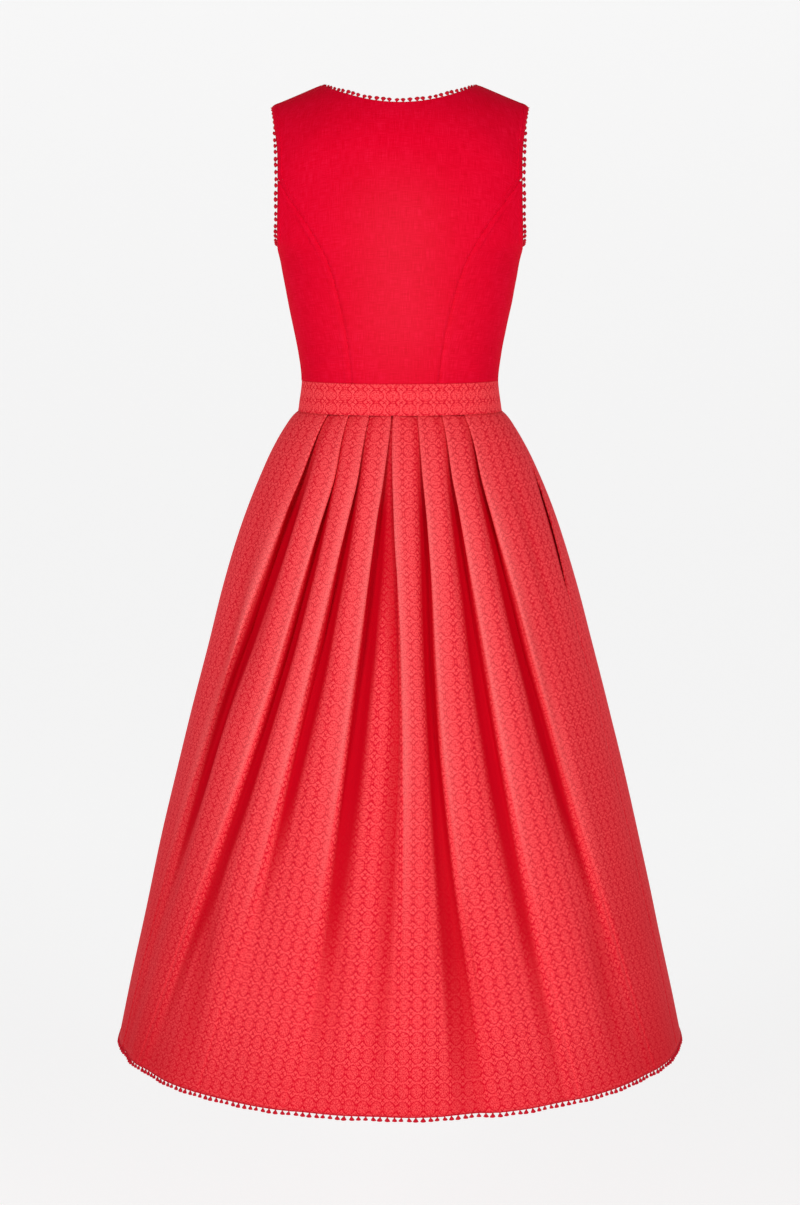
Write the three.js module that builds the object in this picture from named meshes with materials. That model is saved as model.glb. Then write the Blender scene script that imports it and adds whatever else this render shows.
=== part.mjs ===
// Sleeveless dirndl of midi length, filled out as if worn, with no wearer in it.
// Millimetres. +X is the wearer's right, +Y the wearer's front, +Z up.
// The origin lies midway between the two shoulder seams, where the wearer's shoulders carry the dress.
//
// Bodice: one centre back, two side backs, two side fronts and two centre fronts that meet edge to edge
// at the centre front. Skirt: a waistband, a pleated back and a pleated front, and a pocket bag in the
// right side seam. A picot edging runs round the neck, both armholes and the hem.
import * as THREE from "three";

// ---- driving dimensions ----
const BODICE_WALL = 1.4;
const SKIRT_WALL = 1.2;
const SEAM_GAP = 0.3;
const SHOULDER_TIP = { x: 155, z: -12.5 };
const NECK_POINT = { x: 97, z: 12.5 };
const SHOULDER_ROLL = 90; // height over which back and front round up to the shoulder seam
const BACK_NECK_DROP = 25;
const FRONT_NECK_DROP = 128;
const UNDERARM_Z = -187;
const WAIST_Z = -348; // where the bodice meets the waistband
const BAND = { height: 37, wall: 2, columns: 36 };
const SKIRT_TOP_Z = WAIST_Z - BAND.height - SEAM_GAP;
const HEM_Z = -1184;
const SLIP = -6; // the back seams lie this far off the middle at the waist, to the wearer's left
const CUP = { x: 86, z: -180, fullness: 30, spread: 46 };
const EDGING = { height: 5.5, wall: 1.6 };
const POCKET = { top: -448, bottom: -610, gape: 3.4, wall: 2, bagTop: -422, bagBottom: -680, columns: 4 };

// Half-width of the figure under the bodice, and its depth behind and before the side seam.
// square is the power of the oval: 2 is an ellipse, more is squarer.
const TORSO = [
  { z: -385, half: 126, back: 93, front: 100, square: 2 },
  { z: -348, half: 121.5, back: 88, front: 95, square: 2 },
  { z: -313, half: 125.5, back: 90, front: 98, square: 2.05 },
  { z: -283, half: 131.5, back: 93, front: 101, square: 2.1 },
  { z: -254, half: 137.5, back: 97, front: 105, square: 2.15 },
  { z: -224, half: 143, back: 101, front: 109, square: 2.2 },
  { z: -187, half: 151, back: 105, front: 111, square: 2.2 },
  { z: -174, half: 160, back: 107, front: 110, square: 2.2 },
  { z: -154, half: 167, back: 109, front: 106, square: 2.2 },
  { z: -124, half: 171, back: 110, front: 97, square: 2.2 },
  { z: -84, half: 172, back: 109, front: 88, square: 2.2 },
  { z: -34, half: 172.5, back: 106, front: 84, square: 2.2 },
  { z: 66, half: 173, back: 104, front: 84, square: 2.2 },
];

// Distance of each seam and armhole edge from the middle.
const BACK_SEAM = [
  { z: -348, x: 53 },
  { z: -295, x: 59 },
  { z: -265, x: 65 },
  { z: -226, x: 75 },
  { z: -198, x: 85 },
  { z: -171, x: 100 },
  { z: -148, x: 115 },
  { z: -125, x: 132 },
  { z: -100, x: 148 },
];
const FRONT_SEAM = [
  { z: -348, x: 48 },
  { z: -294, x: 60 },
  { z: -234, x: 77 },
  { z: -180, x: 87 },
  { z: -144, x: 98 },
  { z: -119, x: 115 },
  { z: -100, x: 140 },
];
const BACK_ARMHOLE = [
  { z: -187, x: 151 },
  { z: -154, x: 149.5 },
  { z: -100, x: 148 },
  { z: -62, x: 149 },
  { z: -34, x: 152 },
  { z: -12.5, x: 155 },
];
const FRONT_ARMHOLE = [
  { z: -187, x: 151 },
  { z: -154, x: 144 },
  { z: -100, x: 140 },
  { z: -62, x: 142 },
  { z: -34, x: 149 },
  { z: -12.5, x: 155 },
];
const SEAM_TOP_Z = -100; // where the seams of back and front run into the armholes
const SIDE_TOP_Z = -104; // the side panels' blunt tips lie just below
// Heights of the rows of panel points, from the waist to the seams' tops.
const SEAM_ROWS = [
  ...[WAIST_Z + SEAM_GAP, -313, -283, -254, -224, -202],
  ...[UNDERARM_Z, -184.5, -178, -168, -152, -128],
];

// Skirt sections from the waist to the hem: half-width, depth behind and before, how deep the valleys
// between the pleats are, and how far each fold lies over its valley (below nought it has opened out).
const SKIRT = [
  { z: SKIRT_TOP_Z, half: 127, back: 94, front: 101, valley: 4.6, lap: 16 },
  { z: -391, half: 132.6, back: 98.5, front: 105, valley: 4.7, lap: 15.8 },
  { z: -400, half: 139.5, back: 105, front: 111, valley: 4.9, lap: 15.5 },
  { z: -422, half: 153, back: 118, front: 123, valley: 5.6, lap: 14.5 },
  { z: -448, half: 166, back: 131, front: 135, valley: 7, lap: 13 },
  { z: -498, half: 186.5, back: 151, front: 154, valley: 10, lap: 10 },
  { z: -555, half: 206.5, back: 171, front: 173, valley: 13, lap: 7 },
  { z: -610, half: 223.5, back: 189, front: 190, valley: 15, lap: 4 },
  { z: -680, half: 242, back: 210, front: 210, valley: 16, lap: 0 },
  { z: -765, half: 264, back: 234, front: 232, valley: 15.5, lap: -7 },
  { z: -883, half: 293, back: 265, front: 262, valley: 13, lap: -15 },
  { z: -1014, half: 323, back: 297, front: 292, valley: 10, lap: -22 },
  { z: -1110, half: 344.5, back: 320, front: 314, valley: 7.5, lap: -26 },
  { z: HEM_Z, half: 360.5, back: 338, front: 330, valley: 6, lap: -29 },
];
const FOLD_SPREAD = 0.21; // distance between neighbouring folds as a share of the half-width
const SPAN_POINTS = 4; // points between the side seam and the first fold

// Where each fold runs, in degrees round the section from the centre back or centre front towards the
// wearer's right, at four heights. faces is the side that the folded edge looks to.
const FOLD_HEIGHTS = { waist: SKIRT_TOP_Z, hip: -470, middle: -750, hem: HEM_Z };
const BACK_FOLDS = [
  { waist: -44, hip: -44.5, middle: -59.5, hem: -72, faces: 1 },
  { waist: -29.3, hip: -27.5, middle: -36, hem: -50, faces: 1 },
  { waist: -17, hip: -17, middle: -26, hem: -32, faces: 1 },
  { waist: -4.7, hip: -6, middle: -12.5, hem: -16, faces: 1 },
  { waist: -3.1, hip: -2, middle: 0.5, hem: 2, faces: -1 },
  { waist: 9.5, hip: 8.4, middle: 10, hem: 12, faces: -1 },
  { waist: 23.5, hip: 20.5, middle: 23.4, hem: 31, faces: -1 },
  { waist: 38, hip: 34.5, middle: 39, hem: 52, faces: -1 },
];
const FRONT_FOLDS = [
  { waist: -44, hip: -42, middle: -50, hem: -62, faces: 1 },
  { waist: -29.5, hip: -28, middle: -34, hem: -45, faces: 1 },
  { waist: -15, hip: -15.5, middle: -20, hem: -27, faces: 1 },
  { waist: -0.8, hip: -2, middle: -6, hem: -9, faces: 1 },
  { waist: 0.8, hip: 2, middle: 6, hem: 9, faces: -1 },
  { waist: 15, hip: 15.5, middle: 20, hem: 27, faces: -1 },
  { waist: 29.5, hip: 28, middle: 34, hem: 45, faces: -1 },
  { waist: 44, hip: 42, middle: 50, hem: 62, faces: -1 },
];
// Where the side seams run, in degrees from the centre back.
const SIDE_SEAMS = [
  { z: SKIRT_TOP_Z, right: 82, left: 93 },
  { z: -448, right: 78, left: 93 },
  { z: -530, right: 73, left: 92 },
  { z: -610, right: 69, left: 91 },
  { z: -750, right: 71, left: 90 },
  { z: HEM_Z, right: 76, left: 90 },
];

// ---- sums ----
const { degToRad, lerp, clamp } = THREE.MathUtils;
const steps = (count) => Array.from({ length: count + 1 }, (_, i) => i / count);
const power = (value, exponent) => Math.sign(value) * Math.abs(value) ** exponent;

// A column of a table at height z, on a smooth curve through its rows.
function column(rows, key, z) {
  const list = rows[0].z > rows[rows.length - 1].z ? [...rows].reverse() : rows;
  const last = list.length - 1;
  const at = clamp(z, list[0].z, list[last].z);
  let i = 0;
  while (i < last - 1 && at > list[i + 1].z) i++;
  const slope = (k) => {
    const low = Math.max(k - 1, 0);
    const high = Math.min(k + 1, last);
    return (list[high][key] - list[low][key]) / (list[high].z - list[low].z);
  };
  const step = list[i + 1].z - list[i].z;
  const t = (at - list[i].z) / step;
  const bend = step * t * (1 - t) * ((1 - t) * slope(i) - t * slope(i + 1));
  return lerp(list[i][key], list[i + 1][key], t * t * (3 - 2 * t)) + bend;
}

// ---- solids ----
// A cloth wall between two matching grids of points, outer[row][column] and inner[row][column].
function wallBetween(outer, inner) {
  const rows = outer.length;
  const columns = outer[0].length;
  const points = [...outer.flat(), ...inner.flat()];
  const index = (side, row, col) => (side * rows + row) * columns + col;
  const faces = [];
  const quad = (a, b, c, d) => faces.push(a, b, c, a, c, d);
  for (let row = 0; row < rows - 1; row++)
    for (let col = 0; col < columns - 1; col++) {
      quad(index(0, row, col), index(0, row, col + 1), index(0, row + 1, col + 1), index(0, row + 1, col));
      quad(index(1, row, col), index(1, row + 1, col), index(1, row + 1, col + 1), index(1, row, col + 1));
    }
  const top = rows - 1;
  const end = columns - 1;
  for (let col = 0; col < end; col++) {
    quad(index(1, 0, col), index(1, 0, col + 1), index(0, 0, col + 1), index(0, 0, col));
    quad(index(0, top, col), index(0, top, col + 1), index(1, top, col + 1), index(1, top, col));
  }
  for (let row = 0; row < top; row++) {
    quad(index(1, row, 0), index(0, row, 0), index(0, row + 1, 0), index(1, row + 1, 0));
    quad(index(0, row, end), index(1, row, end), index(1, row + 1, end), index(0, row + 1, end));
  }
  if (signedVolume(points, faces) < 0) faces.reverse();
  const geometry = new THREE.BufferGeometry().setFromPoints(points);
  geometry.setIndex(faces);
  geometry.computeVertexNormals();
  return geometry;
}

function signedVolume(points, faces) {
  const cross = new THREE.Vector3();
  let sum = 0;
  for (let i = 0; i < faces.length; i += 3)
    sum += points[faces[i]].dot(cross.crossVectors(points[faces[i + 1]], points[faces[i + 2]]));
  return sum;
}

// A wall of even thickness on a grid of { at, out }: a place and the outward direction there.
function clothWall(grid, wall, lift = 0) {
  const moved = (by) => grid.map((row) => row.map(({ at, out }) => at.clone().addScaledVector(out, by)));
  return wallBetween(moved(lift + wall / 2), moved(lift - wall / 2));
}

// ---- bodice ----
const shoulderSlope = (SHOULDER_TIP.z - NECK_POINT.z) / (SHOULDER_TIP.x - NECK_POINT.x);
// Height of the ridge over which back and front meet, x from the middle. It rounds off over the neck.
function shoulderLine(x) {
  if (Math.abs(x) > NECK_POINT.x) return NECK_POINT.z + (Math.abs(x) - NECK_POINT.x) * shoulderSlope;
  return NECK_POINT.z - ((shoulderSlope * NECK_POINT.x) / 2) * (1 - (x / NECK_POINT.x) ** 2);
}

// The angle at which the figure is x from the middle: nought at the side, a right angle at the middle.
const angleOf = (x, z) =>
  Math.acos(clamp(Math.abs(x) / column(TORSO, "half", z), 0, 1) ** (column(TORSO, "square", z) / 2));

// A place on the figure. facing is -1 for the back and 1 for the front, hand is 1 on the wearer's right.
function figure(facing, hand, angle, z) {
  const round = 2 / column(TORSO, "square", z);
  const x = column(TORSO, "half", z) * power(Math.cos(angle), round);
  const across = power(Math.sin(angle), round);
  const below = clamp((shoulderLine(x) - z) / SHOULDER_ROLL, 0, 1);
  const roll = Math.sqrt(below * (2 - below));
  const away = Math.hypot(x - CUP.x, z - CUP.z) / CUP.spread;
  const cup = facing < 0 ? 0 : CUP.fullness * Math.exp(-(away ** 2) / 2);
  const depth = (column(TORSO, facing < 0 ? "back" : "front", z) + cup) * across * roll;
  return new THREE.Vector3(hand * x, facing * (SEAM_GAP / 2 + depth), z);
}

// The outward direction there.
function figureOut(facing, hand, angle, z) {
  const x = Math.abs(figure(facing, hand, angle, z).x);
  if (z > shoulderLine(x) - 0.1) return new THREE.Vector3(-hand * shoulderSlope, 0, 1).normalize();
  const turn = 0.02;
  const rise = 0.5;
  const around = figure(facing, hand, angle + turn, z).sub(figure(facing, hand, Math.abs(angle - turn), z));
  if (angle < turn) around.set(0, facing, 0);
  const up = figure(facing, hand, angle, z + rise / 5).sub(figure(facing, hand, angle, z - rise));
  return new THREE.Vector3().crossVectors(around, up).multiplyScalar(hand * facing).normalize();
}

function bodicePlace(facing, x, z) {
  const hand = x < 0 ? -1 : 1;
  const angle = angleOf(x, z);
  return { at: figure(facing, hand, angle, z), out: figureOut(facing, hand, angle, z) };
}

const armholeTable = (facing) => (facing < 0 ? BACK_ARMHOLE : FRONT_ARMHOLE);
const seamTable = (facing) => (facing < 0 ? BACK_SEAM : FRONT_SEAM);
const slipAt = (facing, z) =>
  facing < 0 ? SLIP * clamp((z - SEAM_TOP_Z) / (WAIST_Z - SEAM_TOP_Z), 0, 1) ** 0.5 : 0;

// Heights of the armhole rows above the seams' tops, closer together towards the shoulder.
const ARMHOLE_ROWS = steps(6)
  .slice(1)
  .map((t) => lerp(SEAM_TOP_Z, SHOULDER_TIP.z, Math.sin((t * Math.PI) / 2)));

// Height of the top edge of a centre panel: the shoulder seam, then the neckline.
function topEdge(facing, x) {
  if (Math.abs(x) >= NECK_POINT.x) return shoulderLine(x);
  const inside = Math.abs(x) / NECK_POINT.x;
  return facing < 0
    ? NECK_POINT.z - BACK_NECK_DROP * (1 - inside ** 2)
    : NECK_POINT.z - FRONT_NECK_DROP * Math.sqrt(1 - inside ** 2.4);
}

// A centre panel. shares are the columns' places across it: 1 is the edge on the wearer's right, -1 the
// one on the left, and 0 the middle. Rows are level up to the underarm and then spread to the top edge.
function centrePanel(facing, shares) {
  return [...SEAM_ROWS, SIDE_TOP_Z, SEAM_TOP_Z, ...ARMHOLE_ROWS].map((rowZ) => {
    const inSeam = rowZ < SEAM_TOP_Z;
    const edge = inSeam
      ? column(seamTable(facing), "x", rowZ) - SEAM_GAP / 2
      : column(armholeTable(facing), "x", rowZ);
    const height = (rowZ - UNDERARM_Z) / (SHOULDER_TIP.z - UNDERARM_Z);
    return shares.map((share) => {
      const z = height < 0 ? rowZ : lerp(UNDERARM_Z, topEdge(facing, share * SHOULDER_TIP.x), height);
      const middleGap = shares[0] === 0 && share === 0 ? SEAM_GAP / 2 : 0;
      return bodicePlace(facing, share * edge + slipAt(facing, rowZ) * Math.abs(share) ** 0.5 + middleGap, z);
    });
  });
}

// A side panel, from its seam (share 0) to the side seam and the armhole (share 1).
function sidePanel(facing, hand) {
  return [...SEAM_ROWS, SIDE_TOP_Z].map((z) => {
    const seamX = hand * column(seamTable(facing), "x", z) + slipAt(facing, z) + (hand * SEAM_GAP) / 2;
    const from = angleOf(seamX, z);
    const to = z <= UNDERARM_Z ? 0 : angleOf(column(armholeTable(facing), "x", z), z);
    return steps(6).map((share) => {
      const angle = lerp(from, to, share);
      return { at: figure(facing, hand, angle, z), out: figureOut(facing, hand, angle, z) };
    });
  });
}


// Columns across the panels. The neck points fall on a column.
const NECK_SHARE = NECK_POINT.x / SHOULDER_TIP.x;
const FRONT_SHARES = [...[0, 0.25, 0.48, 0.68, 0.83, 0.93, 1].map((t) => t * NECK_SHARE), 0.81, 1];
const BACK_SHARES = [...FRONT_SHARES.slice(1).reverse().map((t) => -t), ...FRONT_SHARES];

const bodice = {
  bodice_back: centrePanel(-1, BACK_SHARES),
  bodice_front_right: centrePanel(1, FRONT_SHARES),
  bodice_front_left: centrePanel(1, FRONT_SHARES.map((t) => -t)),
  bodice_side_back_right: sidePanel(-1, 1),
  bodice_side_back_left: sidePanel(-1, -1),
  bodice_side_front_right: sidePanel(1, 1),
  bodice_side_front_left: sidePanel(1, -1),
};

// ---- waistband and skirt ----
// A place on an oval section: degrees run from the centre back or centre front to the wearer's right.
function ovalPlace(rows, facing, degrees, z) {
  const ahead = facing * Math.cos(degToRad(degrees));
  const depth = column(rows, ahead < 0 ? "back" : "front", z);
  return new THREE.Vector3(column(rows, "half", z) * Math.sin(degToRad(degrees)), ahead * depth, z);
}

// The direction in which the oval runs there, a millimetre long, and how many millimetres a degree is.
function ovalRun(rows, facing, degrees, z) {
  const run = ovalPlace(rows, facing, degrees + 0.5, z).sub(ovalPlace(rows, facing, degrees - 0.5, z));
  return { perDegree: run.length(), along: run.normalize() };
}

const outOf = (facing, along) => new THREE.Vector3(-facing * along.y, facing * along.x, 0);

function waistbandGrid() {
  const ends = SEAM_GAP / 2 / ovalRun(TORSO, -1, 180, WAIST_Z).perDegree;
  return [SKIRT_TOP_Z + SEAM_GAP, WAIST_Z].map((z) =>
    steps(BAND.columns).map((t) => {
      const degrees = lerp(ends - 180, 180 - ends, t);
      const { along } = ovalRun(TORSO, -1, degrees, z);
      return { at: ovalPlace(TORSO, -1, degrees, z), out: outOf(-1, along) };
    }),
  );
}

function foldDegrees(fold, z) {
  const path = Object.entries(FOLD_HEIGHTS).map(([name, height]) => ({ z: height, degrees: fold[name] }));
  return column(path, "degrees", z);
}

// Turning points of one fold in section, in the order in which the cloth runs: the folded edge, the turn
// under it, the turn of the valley and the valley's floor.
function foldTurns(facing, fold, z) {
  const edge = foldDegrees(fold, z);
  const { valley, lap, half } = Object.fromEntries(
    ["valley", "lap", "half"].map((key) => [key, column(SKIRT, key, z)]),
  );
  const closed = clamp(lap / 8, 0, 1);
  const turn = lerp(0.26, 0.47, closed); // how far down the valley the cloth turns back
  const sink = (valley * Math.max(lap, 0)) / (FOLD_SPREAD * half); // pleats lie on each other like shingles
  const under = edge - (fold.faces * lap) / ovalRun(SKIRT, facing, edge, z).perDegree;
  const third = (under - edge) / 3;
  const open = 1 - clamp((lap + 6) / 6, 0, 1);
  const turns = [
    { degrees: edge, depth: 0 },
    { degrees: edge + third * open, depth: valley * turn },
    { degrees: under - third * open, depth: valley * (1 - turn) + sink },
    { degrees: under, depth: valley + sink },
  ];
  return fold.faces > 0 ? turns : turns.reverse();
}

// Points between two turns, leaving out both ends. An open wave is rounder than a closed pleat.
function between(from, to, count, round) {
  return steps(count + 1)
    .slice(1, -1)
    .map((t) => ({
      degrees: lerp(from.degrees, to.degrees, t),
      depth: lerp(from.depth, to.depth, lerp(t, t * t * (3 - 2 * t), round)),
    }));
}

// Half of the opening between back and front at the right side seam: a seam, and the pocket's mouth.
function seamOpening(z) {
  const down = clamp((z - POCKET.top) / (POCKET.bottom - POCKET.top), 0, 1);
  return SEAM_GAP / 2 + (POCKET.gape / 2) * Math.sin(Math.PI * down);
}

// One section of a skirt half, from the side seam on the wearer's left to the one on the right.
function skirtSection(facing, z) {
  const seam = { left: column(SIDE_SEAMS, "left", z), right: column(SIDE_SEAMS, "right", z) };
  const ends = facing < 0 ? [-seam.left, seam.right] : [seam.left - 180, 180 - seam.right];
  const perDegree = ovalRun(SKIRT, facing, ends[1], z).perDegree;
  const start = { degrees: ends[0] + SEAM_GAP / 2 / perDegree, depth: 0 };
  const end = { degrees: ends[1] - seamOpening(z) / perDegree, depth: 0 };
  const round = clamp(-column(SKIRT, "lap", z) / 10, 0, 1);
  const folds = (facing < 0 ? BACK_FOLDS : FRONT_FOLDS).map((fold) => foldTurns(facing, fold, z));
  const last = folds[folds.length - 1];
  const turns = [start, ...between(start, folds[0][0], SPAN_POINTS, 0)];
  folds.forEach((fold, i) => {
    turns.push(...fold);
    if (i < folds.length - 1) turns.push(...between(fold[3], folds[i + 1][0], 2, round));
  });
  turns.push(...between(last[3], end, SPAN_POINTS, 0), end);

  const places = turns.map(({ degrees, depth }) => {
    const out = outOf(facing, ovalRun(SKIRT, facing, degrees, z).along);
    return ovalPlace(SKIRT, facing, degrees, z).addScaledVector(out, -depth);
  });
  // the outward direction at a turn leans so that the wall keeps its thickness on both sides of it
  return places.map((at, i) => {
    const sides = [places[i - 1], at, places[i + 1]].filter(Boolean);
    const outs = sides.slice(1).map((p, k) => outOf(facing, p.clone().sub(sides[k]).normalize()));
    const [first, second] = [outs[0], outs[outs.length - 1]];
    const out = first.clone().add(second).divideScalar(Math.max(1 + first.dot(second), 0.4));
    return { at, out };
  });
}

const skirt = Object.fromEntries(
  [["skirt_back", -1], ["skirt_front", 1]].map(([name, facing]) => [
    name,
    SKIRT.map(({ z }) => skirtSection(facing, z)),
  ]),
);

// The pocket bag is pressed flat on the inside of the front, behind the mouth in the seam.
const pocketGrid = skirt.skirt_front
  .filter(([{ at }]) => at.z <= POCKET.bagTop && at.z >= POCKET.bagBottom)
  .map((row) => row.slice(-POCKET.columns));
const POCKET_LIFT = -(SKIRT_WALL / 2 + SEAM_GAP + POCKET.wall / 2);

// ---- picot edging ----
// A strip that stands on a run of edge points: each has its place, outward direction and the direction
// away from the cloth.
function edging(edge) {
  const standing = (height) =>
    edge.map(({ at, out, away }) => ({ at: at.clone().addScaledVector(away, height), out }));
  return clothWall([standing(SEAM_GAP), standing(SEAM_GAP + EDGING.height)], EDGING.wall);
}

// Directions away from the cloth along a run of edge points. side is 1 where the cloth lies to the right
// of the run, seen from outside. A ring's two ends take their direction from each other.
function withAway(points, side, ring) {
  const count = points.length;
  return points.map(({ at, out }, i) => {
    const before = points[i > 0 ? i - 1 : ring ? count - 2 : 0].at;
    const after = points[i < count - 1 ? i + 1 : ring ? 1 : i].at;
    const away = after.clone().sub(before).cross(out).multiplyScalar(side).normalize();
    return { at, out, away };
  });
}

const midway = ({ at, out }) => ({ at: at.clone().setY(0), out });
const edgeColumn = (grid, share) => grid.map((row) => (share > 0 ? row[row.length - 1] : row[0]));

// From the underarm up the back, over the shoulder and down the front to the underarm.
function armholeEdge(hand) {
  const side = hand > 0 ? "right" : "left";
  const upEdge = (panel, sidePiece, share) => {
    const low = sidePiece.map((row) => row[row.length - 1]).filter(({ at }) => at.z > UNDERARM_Z - SEAM_GAP);
    const high = edgeColumn(panel, share).filter(({ at }) => at.z > SEAM_TOP_Z - SEAM_GAP);
    return [...low, ...high];
  };
  const back = upEdge(bodice.bodice_back, bodice[`bodice_side_back_${side}`], hand);
  const front = upEdge(bodice[`bodice_front_${side}`], bodice[`bodice_side_front_${side}`], 1);
  const tip = midway(back.pop());
  return withAway([...back, tip, ...front.slice(0, -1).reverse()], hand, true);
}

// From the centre front over the wearer's right shoulder, round the back and over the left.
function neckEdge() {
  const topRow = (grid) => grid[grid.length - 1].filter(({ at }) => Math.abs(at.x) < NECK_POINT.x + 1);
  const right = topRow(bodice.bodice_front_right).slice(0, -1);
  const left = topRow(bodice.bodice_front_left).slice(0, -1).reverse();
  const back = topRow(bodice.bodice_back).reverse();
  const ends = [midway(back.shift()), midway(back.pop())];
  return withAway([...right, ends[0], ...back, ends[1], ...left], 1, false);
}

// Round the hem from the side seam on the wearer's left.
function hemEdge() {
  const run = ([name, backwards]) => {
    const [above, hem] = skirt[name].slice(-2);
    const edge = hem.map(({ at, out }, i) => ({
      at,
      out: out.clone().normalize(),
      away: at.clone().sub(above[i].at).normalize(),
    }));
    return backwards ? edge.reverse().slice(1) : edge;
  };
  return [["skirt_back", false], ["skirt_front", true]].flatMap(run);
}

// ---- materials and the finished dress ----
const material = (name, color, roughness) =>
  new THREE.MeshStandardMaterial({ name, color, roughness, metalness: 0 });
const linen = material("linen", "#e00d28", 0.85);
const jacquard = material("jacquard", "#ee3f4a", 0.7);
const cotton = material("cotton", "#e3132b", 0.8);

const dirndl = new THREE.Group();
function add(name, geometry, cloth) {
  const mesh = new THREE.Mesh(geometry, cloth);
  mesh.name = name;
  dirndl.add(mesh);
}

for (const [name, grid] of Object.entries(bodice)) add(name, clothWall(grid, BODICE_WALL), linen);
add("waistband", clothWall(waistbandGrid(), BAND.wall), jacquard);
for (const [name, grid] of Object.entries(skirt)) add(name, clothWall(grid, SKIRT_WALL), jacquard);
add("pocket_bag", clothWall(pocketGrid, POCKET.wall, POCKET_LIFT), cotton);
add("edging_neck", edging(neckEdge()), cotton);
add("edging_armhole_right", edging(armholeEdge(1)), cotton);
add("edging_armhole_left", edging(armholeEdge(-1)), cotton);
add("edging_hem", edging(hemEdge()), cotton);

export default dirndl;
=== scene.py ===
"""A sleeveless dirndl of midi length, seen from the back, filled out with no wearer in it.

Red linen bodice with princess seams, a waistband and a pleated skirt of coral jacquard, a pocket in the
right side seam, and picot edging round the neck, the armholes and the hem. The frame is in metres; the
cutting tables are in millimetres and MM turns them.
"""

import math

import bpy
import numpy as np
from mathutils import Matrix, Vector, noise


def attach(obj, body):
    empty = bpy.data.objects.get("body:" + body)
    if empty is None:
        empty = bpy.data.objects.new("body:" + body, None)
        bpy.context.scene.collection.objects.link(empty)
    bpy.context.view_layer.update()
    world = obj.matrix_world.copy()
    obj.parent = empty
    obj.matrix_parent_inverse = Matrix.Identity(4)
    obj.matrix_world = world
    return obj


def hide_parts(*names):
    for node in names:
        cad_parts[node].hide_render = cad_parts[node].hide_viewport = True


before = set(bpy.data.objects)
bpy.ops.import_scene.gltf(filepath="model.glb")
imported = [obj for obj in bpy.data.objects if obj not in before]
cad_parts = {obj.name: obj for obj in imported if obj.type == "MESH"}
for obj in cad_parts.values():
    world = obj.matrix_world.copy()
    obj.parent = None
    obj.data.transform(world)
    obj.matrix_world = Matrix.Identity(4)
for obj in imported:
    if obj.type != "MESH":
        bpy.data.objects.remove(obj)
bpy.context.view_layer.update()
MM = 0.001

# ---- sizes of the cut, in millimetres; -1 stands for the back and 1 for the front ----
BODICE_THICK = 1.1
SKIRT_THICK = 0.8
BAND_THICK = 0.7
BAG_THICK = 0.9
SEAM_GAP = 0.3
SHOULDER_TIP = (157.5, -12.5)  # x, z
NECK_POINT = (97, 12.5)
SHOULDER_ROLL = 90
NECK_DROP = {-1: 25, 1: 128}
UNDERARM_Z = -187
SEAM_TOP_Z = -100
WAIST_Z = -348
BAND_HEIGHT = 37
SKIRT_TOP_Z = WAIST_Z - BAND_HEIGHT - SEAM_GAP
HEM_Z = -1184
SLIP = -6  # how far off the middle the back seams lie at the waist
CUP = {"x": 86, "z": -180, "fullness": 30, "spread": 46}
FOLD_SPREAD = 0.21  # between neighbouring folds, as a share of the half-width
POCKET = {"top": -448, "bottom": -610, "gape": 2.6, "bag_top": -422, "bag_bottom": -680}


def table(names, *rows):
    """Rows of a table under named columns, from the lowest z up."""
    columns = zip(*sorted(rows))
    return {name: np.array(values, float) for name, values in zip(names.split(), columns)}


TORSO = table(
    "z half back front square",
    (-385, 126, 93, 100, 2),
    (-348, 121.5, 88, 95, 2),
    (-313, 125.5, 90, 98, 2.05),
    (-283, 131.5, 93, 101, 2.1),
    (-254, 137.5, 97, 105, 2.15),
    (-224, 143, 101, 109, 2.2),
    (-187, 151, 105, 111, 2.2),
    (-174, 160, 107, 110, 2.2),
    (-154, 167, 109, 106, 2.2),
    (-124, 171, 110, 97, 2.2),
    (-84, 172, 109, 88, 2.2),
    (-34, 172.5, 106, 84, 2.2),
    (66, 173, 104, 84, 2.2),
)
SEAM = {
    -1: table(
        "z x",
        (-348, 53), (-295, 59), (-265, 65), (-226, 75), (-198, 85), (-171, 100), (-148, 115),
        (-125, 132), (-100, 148),
    ),
    1: table("z x", (-348, 48), (-294, 60), (-234, 77), (-180, 87), (-144, 98), (-119, 115), (-100, 140)),
}
ARMHOLE = {
    -1: table("z x", (-187, 151), (-154, 149.5), (-100, 148), (-62, 149), (-34, 153.5), (-12.5, 157.5)),
    1: table("z x", (-187, 151), (-154, 144), (-100, 140), (-62, 142), (-34, 150), (-12.5, 157.5)),
}
SKIRT = table(
    "z half back front",
    (SKIRT_TOP_Z, 127, 94, 101),
    (-391, 132.6, 98.5, 105),
    (-400, 139.5, 105, 111),
    (-422, 153, 118, 123),
    (-448, 166, 131, 135),
    (-498, 186.5, 151, 154),
    (-555, 206.5, 171, 173),
    (-610, 223.5, 189, 190),
    (-680, 242, 210, 210),
    (-765, 264, 234, 232),
    (-883, 293, 265, 262),
    (-1014, 323, 297, 292),
    (-1110, 344.5, 320, 314),
    (HEM_Z, 360.5, 338, 330),
)
SIDE_SEAMS = table(
    "z right left",
    (SKIRT_TOP_Z, 82, 93), (-448, 78, 93), (-530, 73, 92), (-610, 69, 91), (-750, 71, 90),
    (HEM_Z, 76, 90),
)
FOLD_HEIGHTS = (HEM_Z, -750, -470, SKIRT_TOP_Z)
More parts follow.
